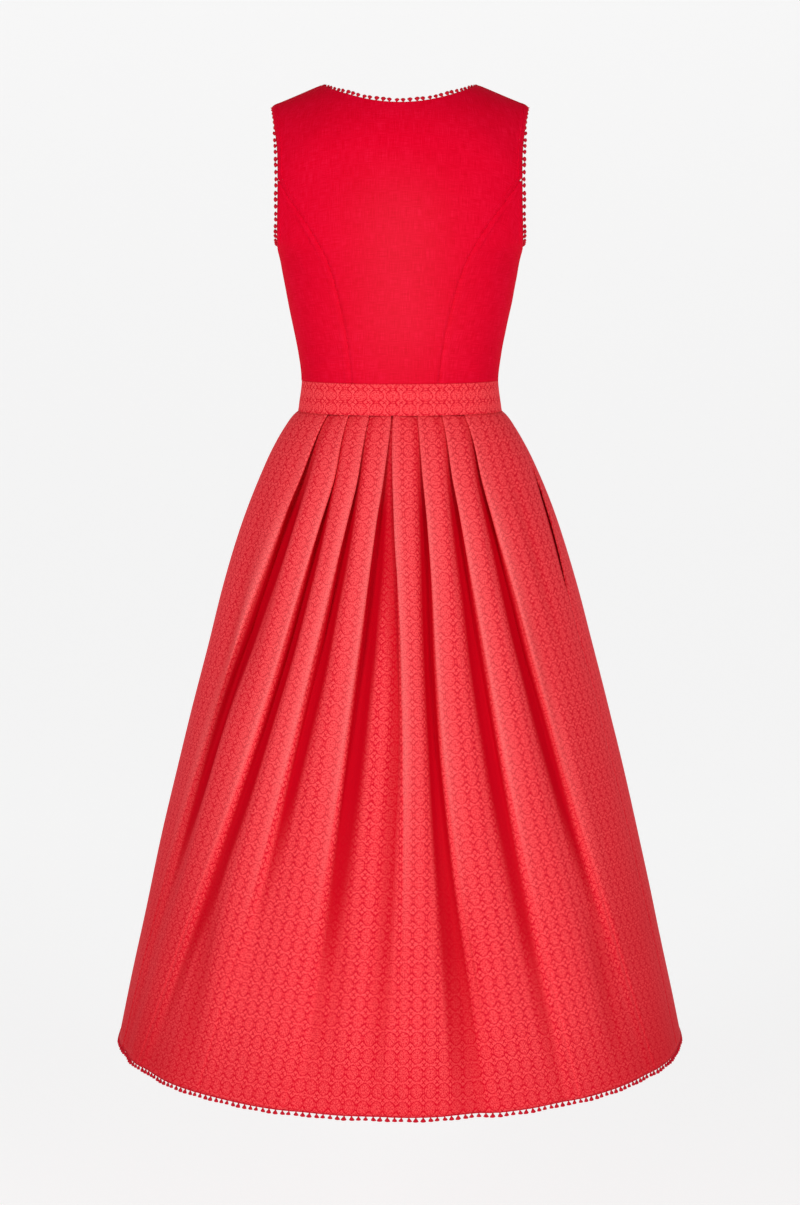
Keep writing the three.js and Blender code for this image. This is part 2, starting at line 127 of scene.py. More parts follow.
# each fold: degrees at the hem, halfway, at the hip and at the waist, and the side its edge looks to
LOOKS = 4  # the place of that side in a fold's row
FOLDS = {
    -1: [
        (-76, -60.5, -44.5, -44, 1),
        (-64, -39.5, -27.5, -29.3, 1),
        (-42, -27, -17, -17, 1),
        (-22, -12.5, -6, -4.7, 1),
        (-0.5, -0.7, -4, -3.6, -1),
        (18, 9.3, 8.4, 9.5, -1),
        (36, 25.4, 20.9, 23.5, -1),
        (60, 43, 34.5, 38, -1),
    ],
    1: [
        (-62, -50, -42, -44, 1),
        (-45, -34, -28, -29.5, 1),
        (-27, -20, -15.5, -15, 1),
        (-9, -6, -2, -0.8, 1),
        (9, 6, 2, 0.8, -1),
        (27, 20, 15.5, 15, -1),
        (45, 34, 28, 29.5, -1),
        (62, 50, 42, 44, -1),
    ],
}


# ---- sums ----
def column(rows, key, z):
    """A column of a table at height z, on a smooth curve through its rows."""
    heights = rows["z"]
    values = rows[key]
    last = len(heights) - 1
    index = np.arange(last + 1)
    low = np.maximum(index - 1, 0)
    high = np.minimum(index + 1, last)
    slope = (values[high] - values[low]) / (heights[high] - heights[low])
    z = np.clip(z, heights[0], heights[-1])
    i = np.clip(np.searchsorted(heights, z, side="right") - 1, 0, last - 1)
    step = heights[i + 1] - heights[i]
    t = (z - heights[i]) / step
    bend = step * t * (1 - t) * ((1 - t) * slope[i] - t * slope[i + 1])
    return values[i] + (values[i + 1] - values[i]) * t * t * (3 - 2 * t) + bend


def lerp(a, b, t):
    """A value t of the way from a to b."""
    return a + (b - a) * t


def power(value, exponent):
    """A power of a value's size, with the value's own sign."""
    return np.sign(value) * np.abs(value) ** exponent


def smooth_step(t):
    """Eases t, from nought to one, in and out."""
    return t * t * (3 - 2 * t)


def unit(vectors):
    """The same directions, each of length one."""
    return vectors / np.maximum(np.linalg.norm(vectors, axis=-1, keepdims=True), 1e-9)


def grid_normals(grid):
    """Directions across a grid of points, right-handed from its columns to its rows."""
    return unit(np.cross(np.gradient(grid, axis=1), np.gradient(grid, axis=0)))


def ripple(grid, size, seed):
    """Smooth uneven values between -1 and 1 over a grid of points, in lumps of a size in millimetres."""
    flat = grid.reshape(-1, 3) / np.array(size, float)
    values = [noise.noise(Vector((x + seed, y - seed, z + 3 * seed))) for x, y, z in flat]
    return np.array(values).reshape(grid.shape[:2])


# ---- meshes ----
def grid_faces(rows, columns):
    """Four-cornered faces between neighbouring points of a grid."""
    corner = np.arange(rows * columns).reshape(rows, columns)
    corners = [corner[:-1, :-1], corner[:-1, 1:], corner[1:, 1:], corner[1:, :-1]]
    return np.stack(corners, -1).reshape(-1, 4)


def rounded(name, points, faces):
    """An object whose faces are shaded as one smooth surface."""
    mesh = bpy.data.meshes.new(name)
    mesh.from_pydata(points, [], faces)
    mesh.polygons.foreach_set("use_smooth", [True] * len(mesh.polygons))
    made = bpy.data.objects.new(name, mesh)
    bpy.context.scene.collection.objects.link(made)
    return made


def cloth(name, grid, uv, thick, uv_after=None):
    """A thin shell on a grid of points in millimetres.

    uv places the weave, in metres of cloth. Where the cloth is hidden in a fold, uv_after tells where the
    weave goes on.
    """
    faces = grid_faces(*grid.shape[:2])
    piece = rounded(name, (grid.reshape(-1, 3) * MM).tolist(), faces.tolist())
    layer = piece.data.uv_layers.new(name="Cloth")
    corners = uv.reshape(-1, 2)[faces]
    if uv_after is not None:
        corners[:, [0, 3]] = uv_after.reshape(-1, 2)[faces[:, [0, 3]]]
    layer.data.foreach_set("uv", corners.astype(np.float32).ravel())
    shell = piece.modifiers.new("Thickness", "SOLIDIFY")
    shell.thickness = thick * MM
    shell.offset = 0
    return piece


def mark(piece, name, values):
    """Writes a value for each point of a cloth's grid, for its material to read."""
    layer = piece.data.attributes.new(name, "FLOAT", "POINT")
    layer.data.foreach_set("value", values.astype(np.float32).ravel())


def place(piece, material, slot, *nodes):
    """Puts a piece on the dress in place of its plain solids."""
    piece.data.materials.append(material)
    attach(piece, "root")
    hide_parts(*nodes)


def lengths(grid):
    """Longest level row and longest column of a grid, and its area, in metres."""
    across = np.linalg.norm(np.diff(grid[..., :2], axis=1), axis=2).sum(axis=1).max()
    along = np.linalg.norm(np.diff(grid, axis=0), axis=2).sum(axis=0).max()
    halves = np.cross(grid[:-1, 1:] - grid[:-1, :-1], grid[1:, :-1] - grid[:-1, :-1])
    others = np.cross(grid[1:, :-1] - grid[1:, 1:], grid[:-1, 1:] - grid[1:, 1:])
    area = (np.linalg.norm(halves, axis=2) + np.linalg.norm(others, axis=2)).sum() / 2
    return (across * MM, along * MM), area * MM * MM


def declare(grid):
    """Works out how large a piece is laid flat and its area; nothing is kept or said."""
    flat, area = lengths(grid)
    area = min(area, flat[0] * flat[1])


# ---- threads and cloths ----
def colour(text):
    """A screen colour such as #e00d28 as linear light."""
    parts = [int(text[i : i + 2], 16) / 255 for i in (1, 3, 5)]
    return (*[c / 12.92 if c <= 0.04045 else ((c + 0.055) / 1.055) ** 2.4 for c in parts], 1.0)


def node(tree, kind, inputs=None, **settings):
    """Adds a node. inputs are values or other nodes' outputs."""
    made = tree.nodes.new(kind)
    for name, value in settings.items():
        setattr(made, name, value)
    for socket, value in (inputs or {}).items():
        if isinstance(value, bpy.types.NodeSocket):
            tree.links.new(value, made.inputs[socket])
        else:
            made.inputs[socket].default_value = value
    return made


def start(name, **fixed):
    """A material with its shader, fixed socket values set on it."""
    material = bpy.data.materials.new(name)
    material.use_nodes = True
    tree = material.node_tree
    shader = tree.nodes["Principled BSDF"]
    for socket, value in fixed.items():
        shader.inputs[socket.replace("_", " ")].default_value = value
    return material, tree, shader


def stops(ramp, *places):
    """Sets a ramp's stops, each a place and a grey or a colour."""
    elements = ramp.color_ramp.elements
    while len(elements) < len(places):
        elements.new(0.5)
    for element, (position, value) in zip(elements, places):
        element.position = position
        element.color = value if hasattr(value, "__len__") else (value, value, value, 1.0)


# slubs along a yarn and yarns side by side, to a metre; the yarns are drawn 0.7 mm apart, coarser than
# real, so that they show
WEFT_SLUBS = 70
WARP_SLUBS = 60
YARNS = 1500
# the jacquard's repeat along the weft and along the warp, in metres
REPEAT = (0.016, 0.020)
MIDDLE = (0.5, 0.5, 0)
ROSETTE_DOTS = 8
# floats of the satin, crosswise and lengthwise, to a metre
FLOATS = (900, 450, 0)
# how high the weave stands, in metres
RELIEF = 0.0004


def linen():
    """Plain-woven linen, piece-dyed and pressed.

    It looks matt, with thick and thin yarns crossing at right angles.
    """
    material, tree, shader = start("linen", Specular_IOR_Level=0.03, IOR=1.46, Roughness=0.85)
    uv = node(tree, "ShaderNodeTexCoord").outputs["UV"]
    along_weft = (WEFT_SLUBS, YARNS, 0)
    along_warp = (YARNS, WARP_SLUBS, 0)
    weft_place = node(tree, "ShaderNodeVectorMath", {0: uv, 1: along_weft}, operation="MULTIPLY")
    warp_place = node(tree, "ShaderNodeVectorMath", {0: uv, 1: along_warp}, operation="MULTIPLY")
    weft = node(tree, "ShaderNodeTexNoise", {"Vector": weft_place.outputs[0], "Scale": 1.0, "Detail": 1.0})
    warp = node(tree, "ShaderNodeTexNoise", {"Vector": warp_place.outputs[0], "Scale": 1.0, "Detail": 1.0})
    yarns = node(tree, "ShaderNodeMath", {0: weft.outputs["Fac"], 1: warp.outputs["Fac"]}, operation="ADD")
    half = node(tree, "ShaderNodeMath", {0: yarns.outputs[0], 1: 0.5}, operation="MULTIPLY")
    cloud = node(tree, "ShaderNodeTexNoise", {"Vector": uv, "Scale": 14.0, "Detail": 2.0})
    shade = node(tree, "ShaderNodeMath", {0: cloud.outputs["Fac"], 1: 0.18}, operation="MULTIPLY")
    mixed = node(tree, "ShaderNodeMath", {0: half.outputs[0], 1: shade.outputs[0]}, operation="ADD")
    tone = node(tree, "ShaderNodeValToRGB", {"Fac": mixed.outputs[0]})
    stops(tone, (0.38, colour("#cf001c")), (0.58, colour("#dc0126")), (0.78, colour("#e81038")))
    # painted light: paler towards the middle of the back and front, where the cloth faces the lamps
    painted_middle_light = node(tree, "ShaderNodeAttribute", attribute_name="painted_middle_light").outputs["Fac"]
    paler_middle = node(tree, "ShaderNodeMix", {"Factor": painted_middle_light, "B": colour("#ff7a86")}, data_type="RGBA")
    tree.links.new(tone.outputs["Color"], paler_middle.inputs["A"])
    tree.links.new(paler_middle.outputs["Result"], shader.inputs["Base Color"])
    bump = node(tree, "ShaderNodeBump", {"Height": half.outputs[0], "Strength": 0.3, "Distance": RELIEF})
    tree.links.new(bump.outputs["Normal"], shader.inputs["Normal"])
    return material


def jacquard(name, turned=False):
    """Cotton jacquard in two reds, a coral ground with medallions outlined in the darker thread.

    Its short satin floats give a soft, almost matt face with a faint grain.
    """
    material, tree, shader = start(name, Specular_IOR_Level=0.04, IOR=1.46, Roughness=0.68)
    uv = node(tree, "ShaderNodeTexCoord").outputs["UV"]
    if turned:
        uv = node(tree, "ShaderNodeMapping", {"Vector": uv, "Rotation": (0, 0, math.pi / 2)}).outputs[0]
    repeats = (1 / REPEAT[0], 1 / REPEAT[1], 0)
    spot = node(tree, "ShaderNodeVectorMath", {0: uv, 1: repeats}, operation="MULTIPLY").outputs[0]
    parted = node(tree, "ShaderNodeVectorMath", {0: spot}, operation="FRACTION").outputs[0]
    cell = node(tree, "ShaderNodeVectorMath", {0: parted, 1: MIDDLE}, operation="SUBTRACT").outputs[0]
    # medallion: how far out from its middle, with its outline 6.9 mm out at the sides and 8.4 mm above
    medallion = (1.82, 1.88, 0)
    reach = node(tree, "ShaderNodeVectorMath", {0: cell, 1: medallion}, operation="MULTIPLY").outputs[0]
    radius = node(tree, "ShaderNodeVectorMath", {0: reach}, operation="LENGTH").outputs["Value"]
    rings = node(tree, "ShaderNodeValToRGB", {"Fac": radius}).outputs["Color"]
    stops(
        rings.node, (0.0, 0.9), (0.06, 0.9), (0.11, 0.0), (0.54, 0.0), (0.61, 0.5), (0.67, 0.0),
        (0.72, 0.3), (0.785, 1.0), (0.84, 0.6), (0.89, 0.0),
    )
    # the outline is heaviest a third of the way up from its sides, towards its neighbours' outlines
    bearing = node(tree, "ShaderNodeVectorMath", {0: reach}, operation="NORMALIZE").outputs[0]
    bearing_part = node(tree, "ShaderNodeSeparateXYZ", {0: bearing}).outputs
    sideways = node(tree, "ShaderNodeMath", {0: bearing_part["X"], 1: 2.0}, operation="POWER").outputs[0]
    upward = node(tree, "ShaderNodeMath", {0: bearing_part["Y"]}, operation="ABSOLUTE").outputs[0]
    between = node(tree, "ShaderNodeMath", {0: sideways, 1: upward}, operation="MULTIPLY").outputs[0]
    weight = node(tree, "ShaderNodeMath", {0: between, 1: 1.4, 2: 0.5}, operation="MULTIPLY_ADD").outputs[0]
    outline = node(tree, "ShaderNodeMath", {0: rings, 1: weight}, operation="MULTIPLY").outputs[0]
    # rosette: dots in a ring round the middle
    turn = node(tree, "ShaderNodeTexGradient", {"Vector": reach}, gradient_type="RADIAL").outputs["Fac"]
    waves = 2 * math.pi * ROSETTE_DOTS
    phase = node(tree, "ShaderNodeMath", {0: turn, 1: waves}, operation="MULTIPLY").outputs[0]
    petals = node(tree, "ShaderNodeMath", {0: phase}, operation="COSINE").outputs[0]
    belt = node(tree, "ShaderNodeValToRGB", {"Fac": radius}).outputs["Color"]
    stops(belt.node, (0.14, 0.0), (0.23, 1.0), (0.32, 0.0), (0.38, 0.0), (0.45, 0.9), (0.53, 0.0))
    dots = node(tree, "ShaderNodeMath", {0: petals, 1: belt}, operation="MULTIPLY").outputs[0]
    # four-lobed diamond between four medallions, 12 mm wide and 14 mm high, darkly capped above and below
    moved = node(tree, "ShaderNodeVectorMath", {0: spot, 1: MIDDLE}, operation="ADD").outputs[0]
    between_four = node(tree, "ShaderNodeVectorMath", {0: moved}, operation="FRACTION").outputs[0]
    corner = node(tree, "ShaderNodeVectorMath", {0: between_four, 1: MIDDLE}, operation="SUBTRACT")
    folded = node(tree, "ShaderNodeVectorMath", {0: corner.outputs[0]}, operation="ABSOLUTE").outputs[0]
    spread = node(tree, "ShaderNodeVectorMath", {0: folded, 1: (2.0, 2.0, 0)}, operation="DOT_PRODUCT")
    steps_out = spread.outputs["Value"]
    rims = node(tree, "ShaderNodeValToRGB", {"Fac": steps_out}).outputs["Color"]
    stops(rims.node, (0.0, 0.0), (0.61, 0.0), (0.67, 0.85), (0.78, 0.85), (0.85, 0.0))
    height = node(tree, "ShaderNodeSeparateXYZ", {0: folded}).outputs["Y"]
    cap = {0: height, 1: 4.4, 2: -0.5}
    capped = node(tree, "ShaderNodeMath", cap, operation="MULTIPLY_ADD", use_clamp=True).outputs[0]
    edges = node(tree, "ShaderNodeMath", {0: rims, 1: capped}, operation="MULTIPLY").outputs[0]
    hearts = node(tree, "ShaderNodeMath", {0: steps_out, 1: 0.11}, operation="LESS_THAN").outputs[0]
    across = node(tree, "ShaderNodeVectorMath", {0: folded, 1: (2.0, -2.0, 0)}, operation="DOT_PRODUCT")
    beside = node(tree, "ShaderNodeMath", {0: across.outputs["Value"]}, operation="ABSOLUTE").outputs[0]
    gap = node(tree, "ShaderNodeMath", {0: beside, 1: 0.09}, operation="LESS_THAN").outputs[0]
    near = node(tree, "ShaderNodeMath", {0: steps_out, 1: 0.5}, operation="LESS_THAN").outputs[0]
    lobes = node(tree, "ShaderNodeMath", {0: gap, 1: near}, operation="MULTIPLY").outputs[0]
    crossed = node(tree, "ShaderNodeMath", {0: lobes, 1: hearts}, operation="MAXIMUM").outputs[0]
    lobe_lines = node(tree, "ShaderNodeMath", {0: crossed, 1: 0.7}, operation="MULTIPLY").outputs[0]
    figured = node(tree, "ShaderNodeMath", {0: outline, 1: dots}, operation="MAXIMUM").outputs[0]
    lined = node(tree, "ShaderNodeMath", {0: figured, 1: edges}, operation="MAXIMUM").outputs[0]
    drawn = node(tree, "ShaderNodeMath", {0: lined, 1: lobe_lines}, operation="MAXIMUM").outputs[0]
    # threads: short floats of the satin, drawn 1 mm by 2 mm, coarser than real, so that they show
    floats = node(tree, "ShaderNodeVectorMath", {0: uv, 1: FLOATS}, operation="MULTIPLY").outputs[0]
    grain = node(tree, "ShaderNodeTexNoise", {"Vector": floats, "Scale": 1.0, "Detail": 1.0}).outputs["Fac"]
    speck = node(tree, "ShaderNodeMath", {0: grain, 1: 2.4, 2: -1.07}, operation="MULTIPLY_ADD").outputs[0]
    woven = node(tree, "ShaderNodeMath", {0: drawn, 1: speck}, operation="ADD").outputs[0]
    threads = node(tree, "ShaderNodeValToRGB", {"Fac": woven}).outputs["Color"]
    stops(threads.node, (0.0, colour("#ff5659")), (0.3, colour("#f43843")), (0.85, colour("#d60624")))
    # painted highlight: beside the pressed edges the cloth is paler; painted shade: deep in a pleat, at the
    # sides, the hem and in crease troughs the two reds are darkened to one deeper red
    edge_highlight = node(tree, "ShaderNodeAttribute", attribute_name="edge_highlight").outputs["Fac"]
    pale = {"Factor": edge_highlight, "A": threads, "B": colour("#ff9a96")}
    highlighted = node(tree, "ShaderNodeMix", pale, data_type="RGBA")
    painted_shade = node(tree, "ShaderNodeAttribute", attribute_name="painted_shade").outputs["Fac"]
    shaded = node(tree, "ShaderNodeMix", {"Factor": painted_shade, "B": colour("#c60018")}, data_type="RGBA")
    tree.links.new(highlighted.outputs["Result"], shaded.inputs["A"])
    tree.links.new(shaded.outputs["Result"], shader.inputs["Base Color"])
    relief = {"Height": drawn, "Strength": 0.25, "Distance": RELIEF}
    bump = node(tree, "ShaderNodeBump", relief, invert=True)
    tree.links.new(bump.outputs["Normal"], shader.inputs["Normal"])
    return material


def cotton(name, low, high, roughness):
    """Twisted or plain-woven cotton thread, matt, its tone uneven from thread to thread."""
    material, tree, shader = start(name, Specular_IOR_Level=0.12, IOR=1.46, Roughness=roughness)
    spot = node(tree, "ShaderNodeTexCoord").outputs["Object"]
    # strands about a millimetre thick
    twist = node(tree, "ShaderNodeTexNoise", {"Vector": spot, "Scale": 900.0, "Detail": 1.0})
    strands = twist.outputs["Fac"]
    tone = node(tree, "ShaderNodeValToRGB", {"Fac": strands})
    stops(tone, (0.35, colour(low)), (0.65, colour(high)))
    tree.links.new(tone.outputs["Color"], shader.inputs["Base Color"])
    bump = node(tree, "ShaderNodeBump", {"Height": strands, "Strength": 0.5, "Distance": RELIEF})
    tree.links.new(bump.outputs["Normal"], shader.inputs["Normal"])
    return material


LINEN = linen()
JACQUARD = jacquard("jacquard")
BAND_JACQUARD = jacquard("jacquard_crosswise", turned=True)
EDGING_THREAD = cotton("edging_thread", "#b80a20", "#d4182e", 0.7)
POCKETING = cotton("pocketing", "#c80a20", "#d81628", 0.85)


# ---- creases ----
def creases(across, along, lines):
    """Heights of soft ridges and troughs at places in millimetres.

    Each line runs from (across, along) to (across, along) and has a half-width and a height, below nought
    for a trough. It fades towards both ends.
    """
    height = np.zeros(np.broadcast(across, along).shape)
    for x0, z0, x1, z1, width, rise in lines:
        length = math.hypot(x1 - x0, z1 - z0)
        t = ((across - x0) * (x1 - x0) + (along - z0) * (z1 - z0)) / length**2
        aside = ((across - x0) * (z1 - z0) - (along - z0) * (x1 - x0)) / length
        fade = np.clip(1 - (2 * t - 1) ** 2, 0, 1) ** 1.5
        height = height + rise * fade * np.exp(-((aside / width) ** 2))
    return height


# ---- bodice ----
SHOULDER_SLOPE = (SHOULDER_TIP[1] - NECK_POINT[1]) / (SHOULDER_TIP[0] - NECK_POINT[0])
# creases in the bodice: x and z of both ends, half-width and height
BACK_CREASES = [
    (-118, -330, -70, -322, 5, 0.8),
    (-112, -318, -78, -306, 4, -0.6),
    (112, -332, 72, -320, 5, 0.8),
    (104, -312, 80, -304, 4, -0.5),
    (-40, -340, 30, -334, 6, 0.7),
    (-138, -190, -108, -232, 6, -0.7),
    (140, -192, 112, -228, 6, -0.7),
    (-120, -60, -80, -38, 9, 0.8),
    (118, -64, 84, -36, 9, 0.8),
    (-20, -60, 24, -66, 10, -0.6),
]
FRONT_CREASES = [
    (-106, -332, -62, -324, 5, 0.8),
    (104, -330, 66, -320, 5, 0.8),
    (-98, -312, -72, -304, 4, -0.6),
    (-122, -150, -96, -176, 6, -0.8),
    (124, -146, 98, -174, 6, -0.8),
    (-12, -250, -40, -300, 8, -0.7),
    (14, -246, 38, -304, 8, -0.7),
]


def shoulder_line(x):
    """Height of the ridge where back and front meet. It rounds off over the neck."""
    beyond = NECK_POINT[1] + (np.abs(x) - NECK_POINT[0]) * SHOULDER_SLOPE
    over = NECK_POINT[1] - SHOULDER_SLOPE * NECK_POINT[0] / 2 * (1 - (x / NECK_POINT[0]) ** 2)
    return np.where(np.abs(x) > NECK_POINT[0], beyond, over)


def angle_of(x, z):
    """The angle of a place x from the middle: nought at the side, a right angle at the middle."""
    share = np.clip(np.abs(x) / column(TORSO, "half", z), 0, 1)
    return np.arccos(share ** (column(TORSO, "square", z) / 2))


def figure(facing, hand, angle, z):
    """Places on the figure, facing -1 for the back and 1 for the front."""
    rounding = 2 / column(TORSO, "square", z)
    x = column(TORSO, "half", z) * power(np.cos(angle), rounding)
    below = np.clip((shoulder_line(x) - z) / SHOULDER_ROLL, 0, 1)
    roll = np.sqrt(below * (2 - below))
    away = np.hypot(x - CUP["x"], z - CUP["z"]) / CUP["spread"]
    cup = 0 if facing < 0 else CUP["fullness"] * np.exp(-(away**2) / 2)
    depth = column(TORSO, "back" if facing < 0 else "front", z) + cup
    depth = depth * power(np.sin(angle), rounding) * roll
    return np.stack([hand * x, facing * (SEAM_GAP / 2 + depth), z], -1)


def slip_at(facing, z):
    """How far the back seams lie off the middle at a height."""
    down = np.clip((z - SEAM_TOP_Z) / (WAIST_Z - SEAM_TOP_Z), 0, 1)
    return SLIP * down**0.5 if facing < 0 else 0 * down


def top_edge(facing, x):
    """Height of a centre panel's top edge: the shoulder seam, then the neckline."""
    inside = np.clip(np.abs(x) / NECK_POINT[0], 0, 1)
    dip = 1 - inside**2 if facing < 0 else np.sqrt(1 - inside**2.4)
    return np.where(inside < 1, NECK_POINT[1] - NECK_DROP[facing] * dip, shoulder_line(x))


PANEL_ROWS = 64
SIDE_COLUMNS = 34
WAIST_ROWS = np.linspace(WAIST_Z + SEAM_GAP, SEAM_TOP_Z, PANEL_ROWS)
SHOULDER_ROWS = lerp(SEAM_TOP_Z, SHOULDER_TIP[1], np.sin(np.linspace(0, math.pi / 2, 30)[1:]))


def centre_panel(facing, shares):
    """A grid from waist to shoulder, its columns at shares of the way from the middle to the seam."""
    rows = np.concatenate([WAIST_ROWS, SHOULDER_ROWS])[:, None]
    shares = shares[None, :]
    seam = column(SEAM[facing], "x", rows) - SEAM_GAP / 2
    edge = np.where(rows <= SEAM_TOP_Z, seam, column(ARMHOLE[facing], "x", rows))
    height = (rows - UNDERARM_Z) / (SHOULDER_TIP[1] - UNDERARM_Z)
    raised = lerp(UNDERARM_Z, top_edge(facing, shares * SHOULDER_TIP[0]), height)
    z = np.where(height < 0, rows, raised)
    x = shares * edge + slip_at(facing, rows) * np.abs(shares) ** 0.5
    if facing > 0:
        x = x + np.sign(shares.sum()) * (1 - np.abs(shares)) * SEAM_GAP / 2
    hand = np.where(x < 0, -1, 1)
    return figure(facing, hand, angle_of(x, z), z)


def side_panel(facing, hand):
    """A grid from the princess seam to the side, as high as the armhole lets it."""
    rows = np.linspace(WAIST_Z + SEAM_GAP, SEAM_TOP_Z - 4, PANEL_ROWS)[:, None]
    seam = hand * column(SEAM[facing], "x", rows) + slip_at(facing, rows) + hand * SEAM_GAP / 2
    first = angle_of(seam, rows)
    last = np.where(rows <= UNDERARM_Z, 0, angle_of(column(ARMHOLE[facing], "x", rows), rows))
    angle = lerp(first, last, np.linspace(0, 1, SIDE_COLUMNS)[None, :])
    return figure(facing, hand, angle, rows + 0 * angle)


def outward(grid):
    """Directions out of the dress at a grid's points."""
    out = grid_normals(grid)
    middle = grid.reshape(-1, 3).mean(0) * np.array([0.3, 0.0, 1.0])
    return out * np.sign((out * (grid - middle)).sum())


# the seam allowance: how far down and how far back its columns lie from the edge
ALLOWANCE = [(0.45, 0.0), (1.1, 0.35), (1.45, 1.6), (1.5, 5.0), (1.6, 9.0)]
WIDEST_ALLOWANCE = 0.45  # as a share of the panel's own width


def turned_in(grid, out, last):
    """The seam allowance at one side of a panel: over the edge and back along the inside."""
    side = -1 if last else 0
    beside = -2 if last else 1
    edge = grid[:, side]
    over = out[:, side]
    back = unit(grid[:, beside] - edge)
    room = WIDEST_ALLOWANCE * np.linalg.norm(grid[:, -1] - grid[:, 0], axis=1)[:, None]
    added = [edge - over * down + back * np.minimum(along, room) for down, along in ALLOWANCE]
    return added if last else added[::-1]


def with_allowances(grid, out):
    """A panel's grid with the seam allowances of both its sides."""
    columns = [grid[:, i] for i in range(grid.shape[1])]
    return np.stack(turned_in(grid, out, False) + columns + turned_in(grid, out, True), axis=1)


def arc(grid, axis):
    """Length along a grid's rows or columns from its first point."""
    gaps = np.linalg.norm(np.diff(grid, axis=axis), axis=2)
    start_line = np.zeros_like(np.take(gaps, [0], axis=axis))
    return np.concatenate([start_line, np.cumsum(gaps, axis=axis)], axis=axis)


def weave_place(grid):
    """Where the weave lies, in metres across from a grid's middle column and up from its first row."""
    across = arc(grid, 1)
    across = across - across[:, [grid.shape[1] // 2]]
    return np.stack([across, arc(grid, 0)], -1) * MM


# beside a seam the cloth is pulled in at the stitches and a little fuller some way off, in millimetres
PULLED = {"depth": 1.1, "width": 2.0}
FULLER = {"height": 0.35, "from_seam": 6, "width": 4}
# painted light: the middle of the back and front is made paler, most between the waist and the shoulder
# blades
MIDDLE_LIGHT = 0.05
MIDDLE_LIGHT_WIDTH = 64
MIDDLE_LIGHT_FADE = ((-345, -275, -182, -136, -89, -60), (0.5, 1, 1, 0.8, 0.25, 0))
BODICE_RIPPLE = 0.35
BODICE_LUMPS = (38, 60, 30)
# each panel's shaped grid and its outward directions, for the edging to follow
bodice = {}


def panel(name, grid, lines):
    """A bodice panel with its creases, pulled in a little at its seams and turned under there."""
    out = outward(grid)
    height = creases(grid[..., 0], grid[..., 2], lines)
    height = height + BODICE_RIPPLE * ripple(grid, BODICE_LUMPS, seed=3)
    across = arc(grid, 1)
    from_seam = np.minimum(across, across[:, -1:] - across)
    height = height - PULLED["depth"] * np.exp(-((from_seam / PULLED["width"]) ** 2))
    beyond = (from_seam - FULLER["from_seam"]) / FULLER["width"]
    height = height + FULLER["height"] * np.exp(-(beyond**2))
    shaped = grid + out * height[..., None]
    bodice[name] = (shaped, out)
    whole = with_allowances(shaped, out)
    piece = cloth(name + "_cloth", whole, weave_place(whole), BODICE_THICK)
    # painted light: the panel is paler towards the middle
    highlighted = np.interp(whole[..., 2], *MIDDLE_LIGHT_FADE)
    mark(piece, "painted_middle_light", MIDDLE_LIGHT * highlighted * np.exp(-((whole[..., 0] / MIDDLE_LIGHT_WIDTH) ** 2)))
    place(piece, LINEN, "linen", name)
    declare(whole)


# columns from the middle to the seam, closer together towards the seam, where the panel turns
SHARES = 0.6 * np.sin(np.linspace(0, math.pi / 2, 40)) + 0.4 * np.linspace(0, 1, 40)
panel("bodice_back", centre_panel(-1, np.concatenate([-SHARES[:0:-1], SHARES])), BACK_CREASES)
panel("bodice_front_right", centre_panel(1, SHARES), FRONT_CREASES)
panel("bodice_front_left", centre_panel(1, -SHARES), FRONT_CREASES)
for side, hand in (("right", 1), ("left", -1)):
    panel(f"bodice_side_back_{side}", side_panel(-1, hand), BACK_CREASES)
    panel(f"bodice_side_front_{side}", side_panel(1, hand), FRONT_CREASES)


# ---- ovals of the waistband and the skirt ----
# every half degree, for measuring round an oval, and somewhat further than once round it
DEGREES = np.linspace(-200, 200, 801)


def oval(rows, facing, degrees, z):
    """Places on an oval section, degrees from the centre back or front to the wearer's right."""
    ahead = facing * np.cos(np.radians(degrees))
    depth = np.where(ahead < 0, column(rows, "back", z), column(rows, "front", z))
    x = column(rows, "half", z) * np.sin(np.radians(degrees))
    return np.stack([x, ahead * depth, z + 0 * x], -1)


class Oval:
    """One section, measured in millimetres round it from the centre back or front."""

    def __init__(self, rows, facing, z):
        self.rows = rows
        self.facing = facing
        self.z = z
        gaps = np.linalg.norm(np.diff(oval(rows, facing, DEGREES, z), axis=0), axis=1)
        length = np.concatenate([[0], np.cumsum(gaps)])
        self.length = length - np.interp(0, DEGREES, length)

    def round_at(self, degrees):
        """Length round to an angle."""
        return np.interp(degrees, DEGREES, self.length)

    def place(self, around, depth):
        """Places as far round and as deep below the section as told."""
        degrees = np.interp(around, self.length, DEGREES)
        ahead = oval(self.rows, self.facing, degrees + 0.5, self.z)
        run = unit(ahead - oval(self.rows, self.facing, degrees - 0.5, self.z))
        out = np.stack([-self.facing * run[..., 1], self.facing * run[..., 0], 0 * run[..., 0]], -1)
        return oval(self.rows, self.facing, degrees, self.z) - out * np.asarray(depth)[..., None]


def smooth_through(points, counts):
    """A smooth curve through points, with counts of steps between neighbours."""
    step = np.sqrt(np.maximum(np.linalg.norm(np.diff(points, axis=0), axis=1), 1e-3))[:, None]
    slope = np.diff(points, axis=0) / step
    inner = (slope[:-1] * step[1:] + slope[1:] * step[:-1]) / (step[:-1] + step[1:])
    tangent = np.concatenate([slope[:1], inner, slope[-1:]])
    curve = [points[:1]]
    for i, count in enumerate(counts):
        t = (np.arange(1, count + 1) / count)[:, None]
        h = step[i]
        curve.append(
            (2 * t**3 - 3 * t**2 + 1) * points[i]
            + (t**3 - 2 * t**2 + t) * h * tangent[i]
            + (3 * t**2 - 2 * t**3) * points[i + 1]
            + (t**3 - t**2) * h * tangent[i + 1]
        )
    return np.concatenate(curve)


